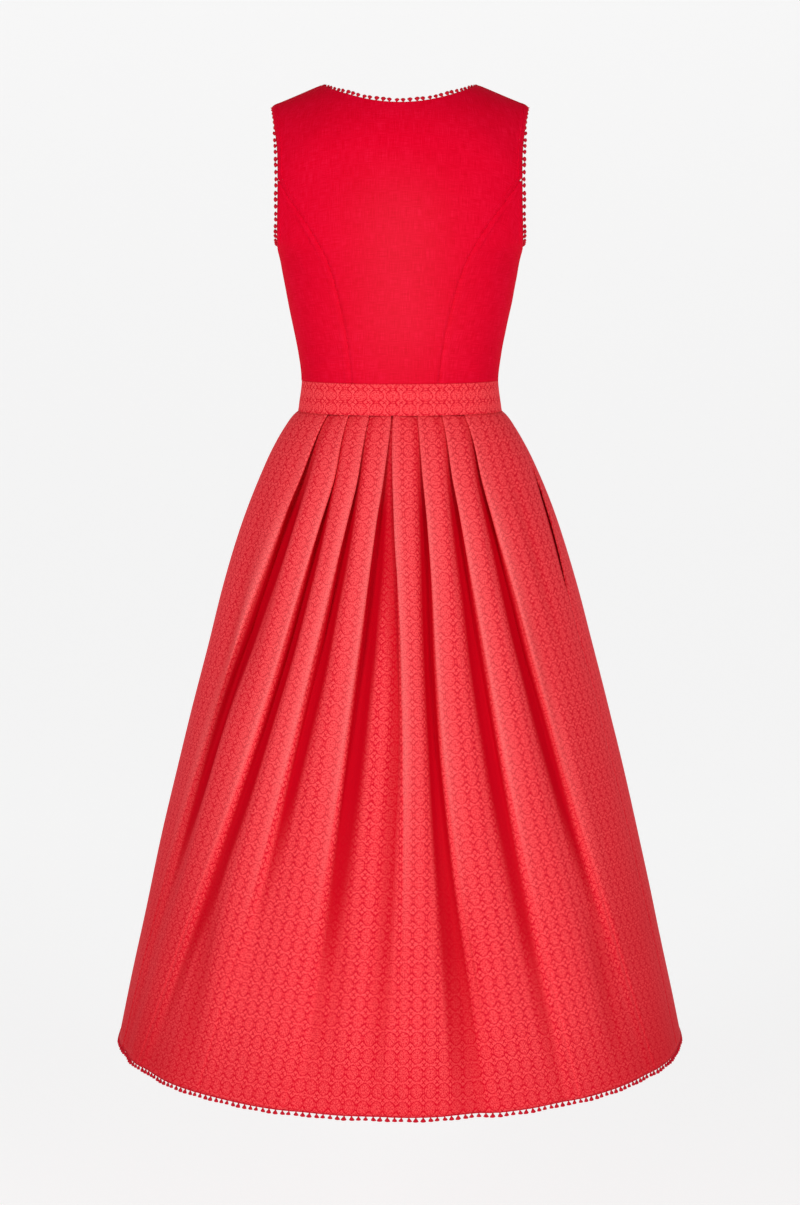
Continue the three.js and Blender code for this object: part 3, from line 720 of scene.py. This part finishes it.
# ---- skirt ----
# points of a pleat between two folds, and of the plain stretch beside each side seam, as shares of the way
SPAN_AT = (0.06, 0.16, 0.3, 0.5, 0.7, 0.84, 0.94)
END_SPAN_AT = (0.12, 0.3, 0.5, 0.7, 0.86)
# columns of cloth between neighbouring points there and round a folded edge
SPAN_STEPS = 3
END_STEPS = 6
TURN_STEPS = (3, 3, 3, 4)
# how far a valley's floor and its slope reach into a pleat, as shares of its width
FLOOR_REACH = 0.06
VALLEY_REACH = 0.6
# how much fuller a pleat is towards its own fold, and how much less the stretches beside the seams puff up
LEAN = 1.6
END_PUFF = 0.6
# a folded edge, in millimetres: how far before it the cloth starts to turn and stands up there, how deep
# the edge itself lies, how far the cloth is tucked back under it, the lap at which a fold is closed and the
# gap at which it is open
TURN_START = 1.6
TURN_RISE = 0.1
EDGE_DEPTH = 0.4
TUCKED_BACK = 0.8
CLOSED_LAP = 8
OPEN_GAP = 6
# how deep the edge lies, and the turn below it in an open and in a closed fold, as shares of the valley
EDGE_SHARE = 0.12
TURN_SHARES = (0.26, 0.47)
# the painted highlight beside a folded edge, in millimetres
HIGHLIGHT_REACH = 9
HIGHLIGHT_PAST = 0.8
HIGHLIGHT_DEPTH = 4
# where a valley, a side of the skirt and a crease get painted shade: from, and over how much more
VALLEY_SHADE = (0.28, 0.42)
SIDE_SHADE = (0.6, 0.35)
TROUGH_DEPTH = 2.5
TROUGH_SHADE = 0.3
# how these change with height, as heights and values there
VALLEY_FADE = (-1040, -660)
BETWEEN_FADE = ((-720, -560), (0.1, 0.55))
HIGHLIGHT_FADE = ((-1000, -780, -520, -450, SKIRT_TOP_Z), (0, 0.32, 0.32, 0.2, 0.06))
VALLEY_SHADE_FADE = ((-1160, -1000, -820, -500, -440, -400), (0.4, 0.9, 1, 1, 0.6, 0.32))
SIDE_SHADE_FADE = ((-1020, -860, -600), (0.5, 0.32, 0.07))
HEM_SHADE_FADE = ((HEM_Z, -1080), (0.24, 0))
# how the pressed pleats have settled: how round they are, how far they puff up, how deep the valleys have
# sunk, how far each fold lies over its valley and how far it has drawn back from the middle of the dress
HANG = table(
    "z round puff valley lap aside",
    (SKIRT_TOP_Z, 0, 0.2, 3.1, 12, 0),
    (-405, 0.3, 0.5, 3.8, 10.5, 0.5),
    (-430, 0.7, 1, 5.5, 9, 1.5),
    (-465, 1, 1.5, 7.5, 7, 3),
    (-510, 1, 2, 10, 3.5, 5),
    (-600, 1, 2, 13, -1, 7),
    (-750, 1, 2, 13.5, -5, 7),
    (-883, 1, 2, 12, -10, 6),
    (-1014, 1, 1.5, 9, -15, 4.5),
    (-1110, 0.9, 1, 7, -19, 3),
    (HEM_Z, 0.8, 0.5, 5, -22, 2),
)
# how deep each valley is as a share of the table's, above and below the middle of the skirt, and how far
# its fold closes over it near the waist
VALLEY_SHARES = {
    -1: [
        (1.3, 0.3, 1.1), (1.1, 0.62, 1.3), (1.15, 0.2, 1.1), (1.2, 0.48, 0.3), (0.57, 0.5, 0.6),
        (1.1, 1.15, 1.0), (1.1, 0.6, 1.1), (1.05, 0.4, 1.2),
    ],
    1: [
        (0.8, 0.25, 0.8), (1.0, 0.5, 1.0), (0.9, 0.9, 0.9), (1.0, 0.5, 0.6), (1.0, 0.7, 0.7),
        (0.9, 0.8, 1.0), (1.0, 0.5, 0.8), (0.8, 0.25, 0.9),
    ],
}
# creases: round from the centre and z of both ends, half-width and height
BACK_SKIRT_CREASES = [
    (-118, -400, -216, -760, 9, -2.2),
    (-150, -430, -290, -900, 12, 2.2),
    (-168, -420, -345, -1010, 14, -2.4),
    (128, -402, 232, -700, 9, -1.8),
    (150, -560, 268, -980, 13, -2.6),
    (176, -640, 330, -1090, 15, 2.4),
    (-60, -860, -92, -1170, 16, -2.5),
    (70, -900, 96, -1176, 15, -2.2),
    (-236, -900, -290, -1176, 18, -3),
    (250, -930, 300, -1178, 18, -2.6),
    (14, -940, 20, -1176, 14, 2),
    (-24, -460, -30, -620, 5, -0.9),
    (60, -450, 74, -640, 5, -1.0),
    (96, -440, 122, -610, 6, -1.1),
    (-72, -440, -96, -600, 5, -0.9),
]
FRONT_SKIRT_CREASES = [
    (-122, -404, -236, -800, 10, -2.2),
    (120, -402, 238, -780, 10, -2.2),
    (-160, -520, -310, -1040, 14, 2.4),
    (158, -500, 318, -1060, 14, 2.4),
    (-40, -880, -54, -1172, 16, -2.4),
    (48, -860, 70, -1170, 15, -2.4),
    (-200, -920, -236, -1176, 17, -2.8),
    (206, -900, 240, -1176, 17, -2.8),
    (0, -700, 4, -1000, 12, 1.8),
]


def down_mouth(z):
    """How far down the pocket's mouth a height is: nought above it and one below."""
    return np.clip((z - POCKET["top"]) / (POCKET["bottom"] - POCKET["top"]), 0, 1)


def seam_opening(z):
    """How far the edge at the right side seam stands off it."""
    return SEAM_GAP / 2 + POCKET["gape"] / 2 * np.sin(math.pi * down_mouth(z))


def edge_of(section, fold):
    """How far round a fold's edge lies."""
    path = {"z": np.array(FOLD_HEIGHTS, float), "degrees": np.array(fold[:4], float)}
    degrees = column(path, "degrees", section.z)
    return section.round_at(degrees) - fold[LOOKS] * column(HANG, "aside", section.z)


def fold_turns(section, fold, shares, valley, lap):
    """Turning points of one fold, each a length round and a depth, from its pleat over the folded edge."""
    above, below, closing = shares
    valley = valley * np.interp(section.z, VALLEY_FADE, (below, above))
    lap = lap * closing if lap > 0 else lap
    looks = fold[LOOKS]
    edge = edge_of(section, fold)
    closed = np.clip(lap / CLOSED_LAP, 0, 1)
    turn = lerp(*TURN_SHARES, closed)
    half = column(section.rows, "half", section.z)
    sink = valley * max(lap, 0) / (FOLD_SPREAD * half)
    opened = 1 - np.clip((lap + OPEN_GAP) / OPEN_GAP, 0, 1)
    under = edge - looks * lap
    third = (under - edge) / 3 * opened
    points = np.array([
        (edge - looks * TURN_START, -TURN_RISE),
        (edge, valley * EDGE_SHARE + EDGE_DEPTH),
        (edge + third - looks * TUCKED_BACK * (1 - opened), valley * turn),
        (under - third, valley * (1 - turn) + sink),
        (under, valley + sink),
    ])
    return points if looks > 0 else points[::-1]


def span(first, last, low_first, low_last, shares, roundness, puff, between=0):
    """Points between two turns; a pleat swells out of the valley at either end that is low.

    between is how deep its middle stays.
    """
    t = np.array(shares)
    from_first = np.clip((VALLEY_REACH - t) / (VALLEY_REACH - FLOOR_REACH), 0, 1)
    from_last = np.clip((VALLEY_REACH - 1 + t) / (VALLEY_REACH - FLOOR_REACH), 0, 1)
    rise = lerp(1 - t, smooth_step(from_first), roundness if low_first else 0)
    fall = lerp(t, smooth_step(from_last), roundness if low_last else 0)
    depth = first[1] * rise + last[1] * fall + between * np.clip(1 - rise - fall, 0, 1)
    lean = LEAN if low_first else 1 / LEAN if low_last else 1
    return np.stack([lerp(first[0], last[0], t), depth - puff * np.sin(np.pi * t**lean)], -1)


def painted_edge_highlight(section, facing, curve):
    """How much painted highlight the cloth gets beside each folded edge."""
    edge_highlight = np.zeros(len(curve))
    for fold in FOLDS[facing]:
        edge = edge_of(section, fold)
        beside = fold[LOOKS] * (edge - curve[:, 0])
        line = np.where(beside > -HIGHLIGHT_PAST, np.exp(-np.abs(beside) / HIGHLIGHT_REACH), 0)
        edge_highlight = np.maximum(edge_highlight, line)
    high = np.clip(1 - curve[:, 1] / HIGHLIGHT_DEPTH, 0, 1)
    return edge_highlight * high * np.interp(section.z, *HIGHLIGHT_FADE)


def skirt_section(facing, z):
    """One level row of a skirt half.

    It gives the row's points, its curve as lengths round and depths, the columns where the weave is set off
    in a fold, and how much painted highlight the cloth gets.
    """
    section = Oval(SKIRT, facing, z)
    sides = [column(SIDE_SEAMS, side, z) for side in ("left", "right")]
    ends = (-sides[0], sides[1]) if facing < 0 else (sides[0] - 180, 180 - sides[1])
    first = np.array([section.round_at(ends[0]) + SEAM_GAP / 2, 0])
    last = np.array([section.round_at(ends[1]) - seam_opening(z), 0])
    valley, lap, roundness, puff = (column(HANG, key, z) for key in ("valley", "lap", "round", "puff"))
    pairs = zip(FOLDS[facing], VALLEY_SHARES[facing])
    turns = [fold_turns(section, fold, shares, valley, lap) for fold, shares in pairs]
    points = [first[None], span(first, turns[0][0], False, False, END_SPAN_AT, 0, puff * END_PUFF)]
    counts = [END_STEPS] * (len(END_SPAN_AT) + 1)
    looks = [fold[LOOKS] for fold in FOLDS[facing]]
    breaks = []
    for i, turn in enumerate(turns):
        points.append(turn)
        steps = TURN_STEPS if looks[i] > 0 else TURN_STEPS[::-1]
        counts += steps
        breaks.append(sum(counts) if looks[i] > 0 else sum(counts) - sum(steps))
        if i < len(turns) - 1:
            low = (looks[i] > 0, looks[i + 1] < 0)
            middle = valley * np.interp(z, *BETWEEN_FADE) if all(low) else 0
            swell = 0 if all(low) else puff
            points.append(span(turn[-1], turns[i + 1][0], *low, SPAN_AT, roundness, swell, middle))
            counts += [SPAN_STEPS] * (len(SPAN_AT) + 1)
    points.append(span(turns[-1][-1], last, False, False, END_SPAN_AT, 0, puff * END_PUFF))
    points.append(last[None])
    counts += [END_STEPS] * (len(END_SPAN_AT) + 1)
    curve = smooth_through(np.concatenate(points), counts)
    return section.place(curve[:, 0], curve[:, 1]), curve, breaks, painted_edge_highlight(section, facing, curve)


# the pocket's mouth bends the cloth beside it
MOUTH_BEND = 8
MOUTH_DIP = {-1: -2.2, 1: 1.2}  # its back edge dips in and its front edge stands a little out
# how far down and how far in the top is tucked under the waistband
TUCK_HEIGHT = 5
TUCK = 0.7
SKIRT_RIPPLE = 1.3
SKIRT_LUMPS = (55, 55, 150)
RIPPLE_FADE = 60  # below the waistband
SKIRT_ROWS = np.concatenate([
    np.linspace(SKIRT_TOP_Z, -440, 20), np.linspace(-445, -700, 50), np.linspace(-706, HEM_Z, 70),
])
# each half's shaped grid and its outward directions, for the pocket and the edging to follow
skirt = {}


def skirt_weave(whole, breaks, facing):
    """Where the weave lies before and after each column, in metres.

    Each stretch between two breaks is placed from its own fold, as it lies at the hem, so the weave is set
    off where the cloth goes into a pleat.
    """
    added = len(ALLOWANCE)
    across = arc(whole, 1)
    across = across - across[:, [added]]
    looks = [fold[LOOKS] for fold in FOLDS[facing]]
    bounds = [0, *(b + added for b in breaks), whole.shape[1] - 1]
    before = np.zeros_like(across)
    after = np.zeros_like(across)
    for i in range(len(bounds) - 1):
        low = bounds[i]
        high = bounds[i + 1]
        if i < len(looks) and looks[i] > 0:
            anchor = high - sum(TURN_STEPS)
        elif i > 0 and looks[i - 1] < 0:
            anchor = low + sum(TURN_STEPS)
        else:
            anchor = (low + high) // 2
        placed = across - across[:, [anchor]] + across[-1, anchor]
        after[:, low:high] = placed[:, low:high]
        before[:, low + 1 : high + 1] = placed[:, low + 1 : high + 1]
    down = arc(whole, 0)
    return np.stack([before, down], -1) * MM, np.stack([after, down], -1) * MM


def painted_fold_shade(grid, depth, trough):
    """How much painted shade, a deeper red, the cloth gets: most in the pleats' valleys."""
    deepest = column(HANG, "valley", SKIRT_ROWS)[:, None]
    begins, over = VALLEY_SHADE
    painted_shade = smooth_step(np.clip((depth / deepest - begins) / over, 0, 1))
    painted_shade = painted_shade * np.interp(SKIRT_ROWS, *VALLEY_SHADE_FADE)[:, None]
    # painted shade goes on the sides of the skirt, the hem and the troughs of the softer creases too
    aside = np.abs(grid[..., 0]) / column(SKIRT, "half", SKIRT_ROWS)[:, None]
    begins, over = SIDE_SHADE
    sideways = np.clip((aside - begins) / over, 0, 1)
    other_shade = sideways * np.interp(SKIRT_ROWS, *SIDE_SHADE_FADE)[:, None]
    other_shade = other_shade + np.interp(SKIRT_ROWS, *HEM_SHADE_FADE)[:, None]
    other_shade = other_shade + np.clip(-trough / TROUGH_DEPTH, 0, 1) * TROUGH_SHADE
    return np.maximum(painted_shade, other_shade)


def over_allowances(values):
    """A grid's values carried on over the seam allowances at both its sides."""
    added = len(ALLOWANCE)
    return np.pad(values, ((0, 0), (added, added)), mode="edge")


def skirt_half(name, facing, lines):
    """One half of the skirt, with its pleats, its creases and its edge of the pocket's mouth."""
    made = [skirt_section(facing, z) for z in SKIRT_ROWS]
    grid = np.stack([row[0] for row in made])
    along = np.stack([row[1][:, 0] for row in made])
    depth = np.stack([row[1][:, 1] for row in made])
    breaks = made[0][2]
    edge_highlight = np.stack([row[3] for row in made])
    out = outward(grid)
    trough = creases(along, SKIRT_ROWS[:, None], lines)
    fade = np.clip((SKIRT_TOP_Z - SKIRT_ROWS) / RIPPLE_FADE, 0, 1)[:, None]
    height = trough + SKIRT_RIPPLE * fade * ripple(grid, SKIRT_LUMPS, seed=11)
    grid = grid + out * height[..., None]
    down = down_mouth(SKIRT_ROWS)[:, None]
    to_mouth = (along[:, -1:] - along) / MOUTH_BEND
    dip = MOUTH_DIP[facing] * np.sin(math.pi * down) ** 0.7 * np.exp(-(to_mouth**2))
    grid = grid + out * dip[..., None]
    # the top lies tucked under the waistband
    tucked = np.clip(1 - (SKIRT_TOP_Z - SKIRT_ROWS) / TUCK_HEIGHT, 0, 1)[:, None, None]
    grid = grid - out * tucked * TUCK
    whole = with_allowances(grid, out)
    before, after = skirt_weave(whole, breaks, facing)
    piece = cloth(name + "_cloth", whole, before, SKIRT_THICK, after)
    # painted shade: a deeper red in the valleys, at the sides, the hem and in crease troughs
    mark(piece, "painted_shade", over_allowances(painted_fold_shade(grid, depth, trough)))
    # painted highlight beside the folded edges
    mark(piece, "edge_highlight", over_allowances(edge_highlight))
    place(piece, JACQUARD, "jacquard", name)
    declare(whole)
    skirt[name] = (grid, out)


skirt_half("skirt_back", -1, BACK_SKIRT_CREASES)
skirt_half("skirt_front", 1, FRONT_SKIRT_CREASES)


# ---- waistband ----
# how far out of the figure its two layers lie, and how far the outer one swells
BAND_OUTER = 0.65
BAND_INNER = -0.55
BAND_SWELL = 0.25
BAND_COLUMNS = 260
BAND_RIPPLE = 0.25
BAND_LUMPS = (40, 40, 30)


def band_profile():
    """Heights up the outer layer, over the fold and down the inner one, and how far out each lies."""
    low = SKIRT_TOP_Z + SEAM_GAP
    high = WAIST_Z
    profile = [(low - 0.8, BAND_OUTER), (low, BAND_OUTER + 0.15), (low + 1.5, BAND_OUTER + 0.1)]
    for t in np.linspace(0, 1, 12):
        profile.append((lerp(low + 3, high - 2.5, t), BAND_OUTER + BAND_SWELL * math.sin(math.pi * t)))
    profile += [(high - 1.0, BAND_OUTER), (high - 0.35, BAND_OUTER * 0.6), (high - 0.1, 0.05)]
    profile += [(high - 0.35, BAND_INNER * 0.6)]
    profile += [(lerp(high - 1.2, low, t), BAND_INNER) for t in np.linspace(0, 1, 8)]
    return profile


def waistband():
    """A straight band folded double, its fold at the top."""
    end = SEAM_GAP / 2
    rows = []
    for z, lift in band_profile():
        section = Oval(TORSO, -1, z)
        around = np.linspace(section.round_at(-180) + end, section.round_at(180) - end, BAND_COLUMNS)
        rows.append(section.place(around, np.full(BAND_COLUMNS, -lift)))
    grid = np.stack(rows)
    # the outer layer's directions serve both layers, so that they ripple together
    out = outward(np.stack(rows[3:15]))[6]
    height = BAND_RIPPLE * ripple(grid, BAND_LUMPS, seed=21)
    grid = grid + out[None] * height[..., None]
    piece = cloth("waistband_cloth", grid, weave_place(grid), BAND_THICK)
    place(piece, BAND_JACQUARD, "jacquard", "waistband")
    declare(grid)


waistband()


# ---- pocket ----
# how many of the skirt's columns the bag lies behind, how deep below them, and how much deeper it sags
BAG_COLUMNS = END_STEPS * 3
BAG_DEPTH = 2.5
BAG_SAG = 1.8


def pocket():
    """The bag inside the front half, behind the mouth in the right side seam."""
    grid, out = skirt["skirt_front"]
    rows = np.where((SKIRT_ROWS <= POCKET["bag_top"]) & (SKIRT_ROWS >= POCKET["bag_bottom"]))[0]
    depth = BAG_DEPTH + BAG_SAG * np.sin(np.linspace(0, math.pi, len(rows))) ** 0.7
    shaped = grid[rows, -BAG_COLUMNS:] - out[rows, -BAG_COLUMNS:] * depth[:, None, None]
    piece = cloth("pocket_bag_cloth", shaped, weave_place(shaped), BAG_THICK)
    place(piece, POCKETING, "pocketing", "pocket_bag")
    declare(shaped)


pocket()

# ---- picot edging ----
PITCH = 8.4
# height and half-width of a knob's stem and cap
KNOB = [
    (0.1, 0.9), (1.1, 0.8), (1.9, 1.1), (2.8, 1.9), (3.8, 2.7),
    (4.7, 3.2), (5.3, 3.0), (5.8, 2.0), (6.0, 0.7),
]
KNOB_HALF_THICK = 1.7
CORD_RADIUS = 0.75
CORD_STEP = 3
# where the edging curls in towards the dress: at the shoulder tips by height, at the neck points by x
CURL_AT_TIP = {"degrees": 86, "from": -56, "over": 18}
CURL_AT_NECK_POINT = {"degrees": 60, "from": 68, "over": 24}
ROUND = np.linspace(0, 2 * math.pi, 9)[:-1]


def rings_to_faces(first, rings):
    """Faces of a closed tube through rings of points, the first of them point number first."""
    around = len(ROUND)
    faces = []
    for ring in range(rings - 1):
        for k in range(around):
            a = first + ring * around + k
            b = first + ring * around + (k + 1) % around
            faces.append((a, b, b + around, a + around))
    faces.append(tuple(first + k for k in reversed(range(around))))
    faces.append(tuple(first + (rings - 1) * around + k for k in range(around)))
    return faces


def eased(path, out, length, passes):
    """The same path with a point for each millimetre, small kinks smoothed out of it but its ends kept."""
    even = np.linspace(0, length[-1], int(length[-1]) + 1)
    joined = np.stack([np.interp(even, length, line) for line in np.hstack([path, out]).T], -1)
    for _ in range(passes):
        joined[1:-1] = (joined[:-2] + 2 * joined[1:-1] + joined[2:]) / 4
    return joined[:, :3], unit(joined[:, 3:]), even


def picots(name, path, out, side, passes=40, curl=None):
    """A fine cord along an edge with little round knobs of thread standing on it."""
    gaps = np.linalg.norm(np.diff(path, axis=0), axis=1)
    length = np.concatenate([[0], np.cumsum(gaps)])
    keep = np.concatenate([[True], gaps > 1e-3])
    path, out, length = eased(path[keep], out[keep], length[keep], passes)

    def on_path(distance, values):
        return np.stack([np.interp(distance, length, values[:, i]) for i in range(3)], -1)

    def at(distance):
        """A spot on the path, the way along it, the way off the cloth and the way a knob stands."""
        spot = on_path(distance, path)
        run = unit(on_path(distance + 2, path) - on_path(distance - 2, path))
        away = unit(np.cross(run, unit(on_path(distance, out)))) * side
        if curl is not None:
            turn = curl(spot)
            inside = np.array([0, -np.sign(spot[1]), 0])
            away = unit(away * math.cos(turn) + inside * math.sin(turn))
        return spot, run, unit(np.cross(away, run)), away

    points = []
    faces = []
    count = int(length[-1] / PITCH)
    pitch = length[-1] / count
    for k in range(count):
        spot, run, flat, away = at((k + 0.5) * pitch)
        # no two knobs are quite alike
        size = 1 + 0.07 * math.sin(5.1 * k)
        lean = 0.14 * math.sin(2.4 * k)
        first = len(points)
        for height, radius in KNOB:
            middle = spot + away * (height * size + 0.3) + run * lean * height
            thin = min(1.0, KNOB_HALF_THICK / radius)
            for angle in ROUND:
                around = run * math.cos(angle) + thin * flat * math.sin(angle)
                points.append(middle + radius * size * around)
        faces += rings_to_faces(first, len(KNOB))
    first = len(points)
    steps = int(length[-1] / CORD_STEP)
    for k in range(steps + 1):
        spot, run, flat, away = at(length[-1] * k / steps)
        radius = CORD_RADIUS * (1 + 0.12 * math.sin(1.9 * k))
        for angle in ROUND:
            around = away * math.cos(angle) + flat * math.sin(angle)
            points.append(spot + away * 0.5 + radius * around)
    faces += rings_to_faces(first, steps + 1)
    piece = rounded(name, (np.array(points) * MM).tolist(), faces)
    place(piece, EDGING_THREAD, "edging", name.replace("_picots", ""))


def armhole_path(hand):
    """The armhole's edge from the side up the back to the shoulder and down the front."""
    side = "right" if hand > 0 else "left"
    lines = []
    for facing, centre in ((-1, "bodice_back"), (1, f"bodice_front_{side}")):
        panel_grid, panel_out = bodice[f"bodice_side_{'back' if facing < 0 else 'front'}_{side}"]
        low = panel_grid[:, -1, 2] > UNDERARM_Z - SEAM_GAP
        centre_grid, centre_out = bodice[centre]
        end = -1 if facing > 0 or hand > 0 else 0
        high = centre_grid[:, end, 2] > SEAM_TOP_Z + 1
        lines.append((
            np.concatenate([panel_grid[low, -1], centre_grid[high, end]]),
            np.concatenate([panel_out[low, -1], centre_out[high, end]]),
        ))
    path = np.concatenate([lines[0][0], lines[1][0][::-1]])
    out = np.concatenate([lines[0][1], lines[1][1][::-1]])
    return path, out


def neck_path():
    """The neckline from the centre front over the right shoulder and round to the centre front."""
    path = []
    directions = []
    for name, way in (("bodice_front_right", 1), ("bodice_back", -1), ("bodice_front_left", -1)):
        grid, out = bodice[name]
        inside = np.abs(grid[-1, :, 0]) < NECK_POINT[0] + 1
        path.append(grid[-1, inside][::way])
        directions.append(out[-3, inside][::way])
    return np.concatenate(path), np.concatenate(directions)


def hem_path():
    """The hem once round."""
    back, back_out = skirt["skirt_back"]
    front, front_out = skirt["skirt_front"]
    path = np.concatenate([back[-1], front[-1, ::-1][1:]])
    return path, np.concatenate([back_out[-1], front_out[-1, ::-1][1:]])


def curled(curl, value):
    """How far the edging curls in where a height or an x has a value, in radians."""
    return math.radians(curl["degrees"]) * float(np.clip((value - curl["from"]) / curl["over"], 0, 1))


def curl_at_tip(spot):
    return curled(CURL_AT_TIP, spot[2])


def curl_at_neck_point(spot):
    return curled(CURL_AT_NECK_POINT, abs(spot[0]))


picots("edging_neck_picots", *neck_path(), 1, curl=curl_at_neck_point)
picots("edging_armhole_right_picots", *armhole_path(1), 1, curl=curl_at_tip)
picots("edging_armhole_left_picots", *armhole_path(-1), -1, curl=curl_at_tip)
picots("edging_hem_picots", *hem_path(), 1, passes=14)

# ---- studio ----
# in metres
FLOOR_Z = -1.6
SWEEP_RADIUS = 2.5
SWEEP_START = 3.0
PAPER_HALF_WIDTH = 7.0
PAPER_TOP = 5.0
MIDDLE_OF_DRESS = (0, 0, -0.6)


def backdrop():
    """A pale floor that sweeps up behind the dress."""
    profile = [(-PAPER_HALF_WIDTH, FLOOR_Z), (-2.0, FLOOR_Z), (1.5, FLOOR_Z)]
    for angle in np.linspace(0, math.pi / 2, 13):
        back = SWEEP_START + SWEEP_RADIUS * math.sin(angle)
        profile.append((back, FLOOR_Z + SWEEP_RADIUS * (1 - math.cos(angle))))
    profile.append((SWEEP_START + SWEEP_RADIUS, PAPER_TOP))
    across = np.linspace(-PAPER_HALF_WIDTH, PAPER_HALF_WIDTH, 9)
    points = [(x, y, z) for y, z in profile for x in across]
    sheet = rounded("backdrop", points, grid_faces(len(profile), len(across)).tolist())
    # matt paper, lit through a little so that it looks almost white
    material, _, shader = start("pale_paper", Roughness=0.95, Specular_IOR_Level=0.1)
    shader.inputs["Base Color"].default_value = colour("#a6a6a6")
    shader.inputs["Emission Color"].default_value = colour("#ffffff")
    shader.inputs["Emission Strength"].default_value = 0.71
    sheet.data.materials.append(material)


def lamp(name, spot, size, watts):
    """A soft lamp that shines on the middle of the dress."""
    light = bpy.data.lights.new(name, "AREA")
    light.shape = "RECTANGLE"
    light.size, light.size_y = size
    light.energy = watts
    made = bpy.data.objects.new(name, light)
    made.location = spot
    made.rotation_euler = (Vector(MIDDLE_OF_DRESS) - Vector(spot)).to_track_quat("-Z", "Y").to_euler()
    bpy.context.scene.collection.objects.link(made)


backdrop()
lamp("key", (-2.5, -3.6, 0.5), (1.2, 1.8), 80)
lamp("fill", (2.5, -3.6, 0.3), (1.2, 1.8), 72)
lamp("top", (0.0, -1.2, 2.6), (2.0, 1.6), 6)

world = bpy.data.worlds.new("studio")
bpy.context.scene.world = world
world.use_nodes = True
sky = world.node_tree.nodes["Background"].inputs
sky["Color"].default_value = colour("#ffffff")
sky["Strength"].default_value = 0.2

# ---- camera ----
SENSOR = 36
FRAME_HEIGHT = 1205  # pixels
FOCAL_LENGTH = 2560  # pixels of that frame
TILT_DOWN = 8.19  # degrees

lens = bpy.data.cameras.new("camera")
lens.sensor_width = SENSOR
lens.lens = SENSOR * FOCAL_LENGTH / FRAME_HEIGHT
camera = bpy.data.objects.new("camera", lens)
camera.location = (0, -3.2, -0.1675)
camera.rotation_euler = (math.radians(90 - TILT_DOWN), 0, 0)
bpy.context.scene.collection.objects.link(camera)
bpy.context.scene.camera = camera
bpy.context.scene.view_settings.view_transform = "Standard"
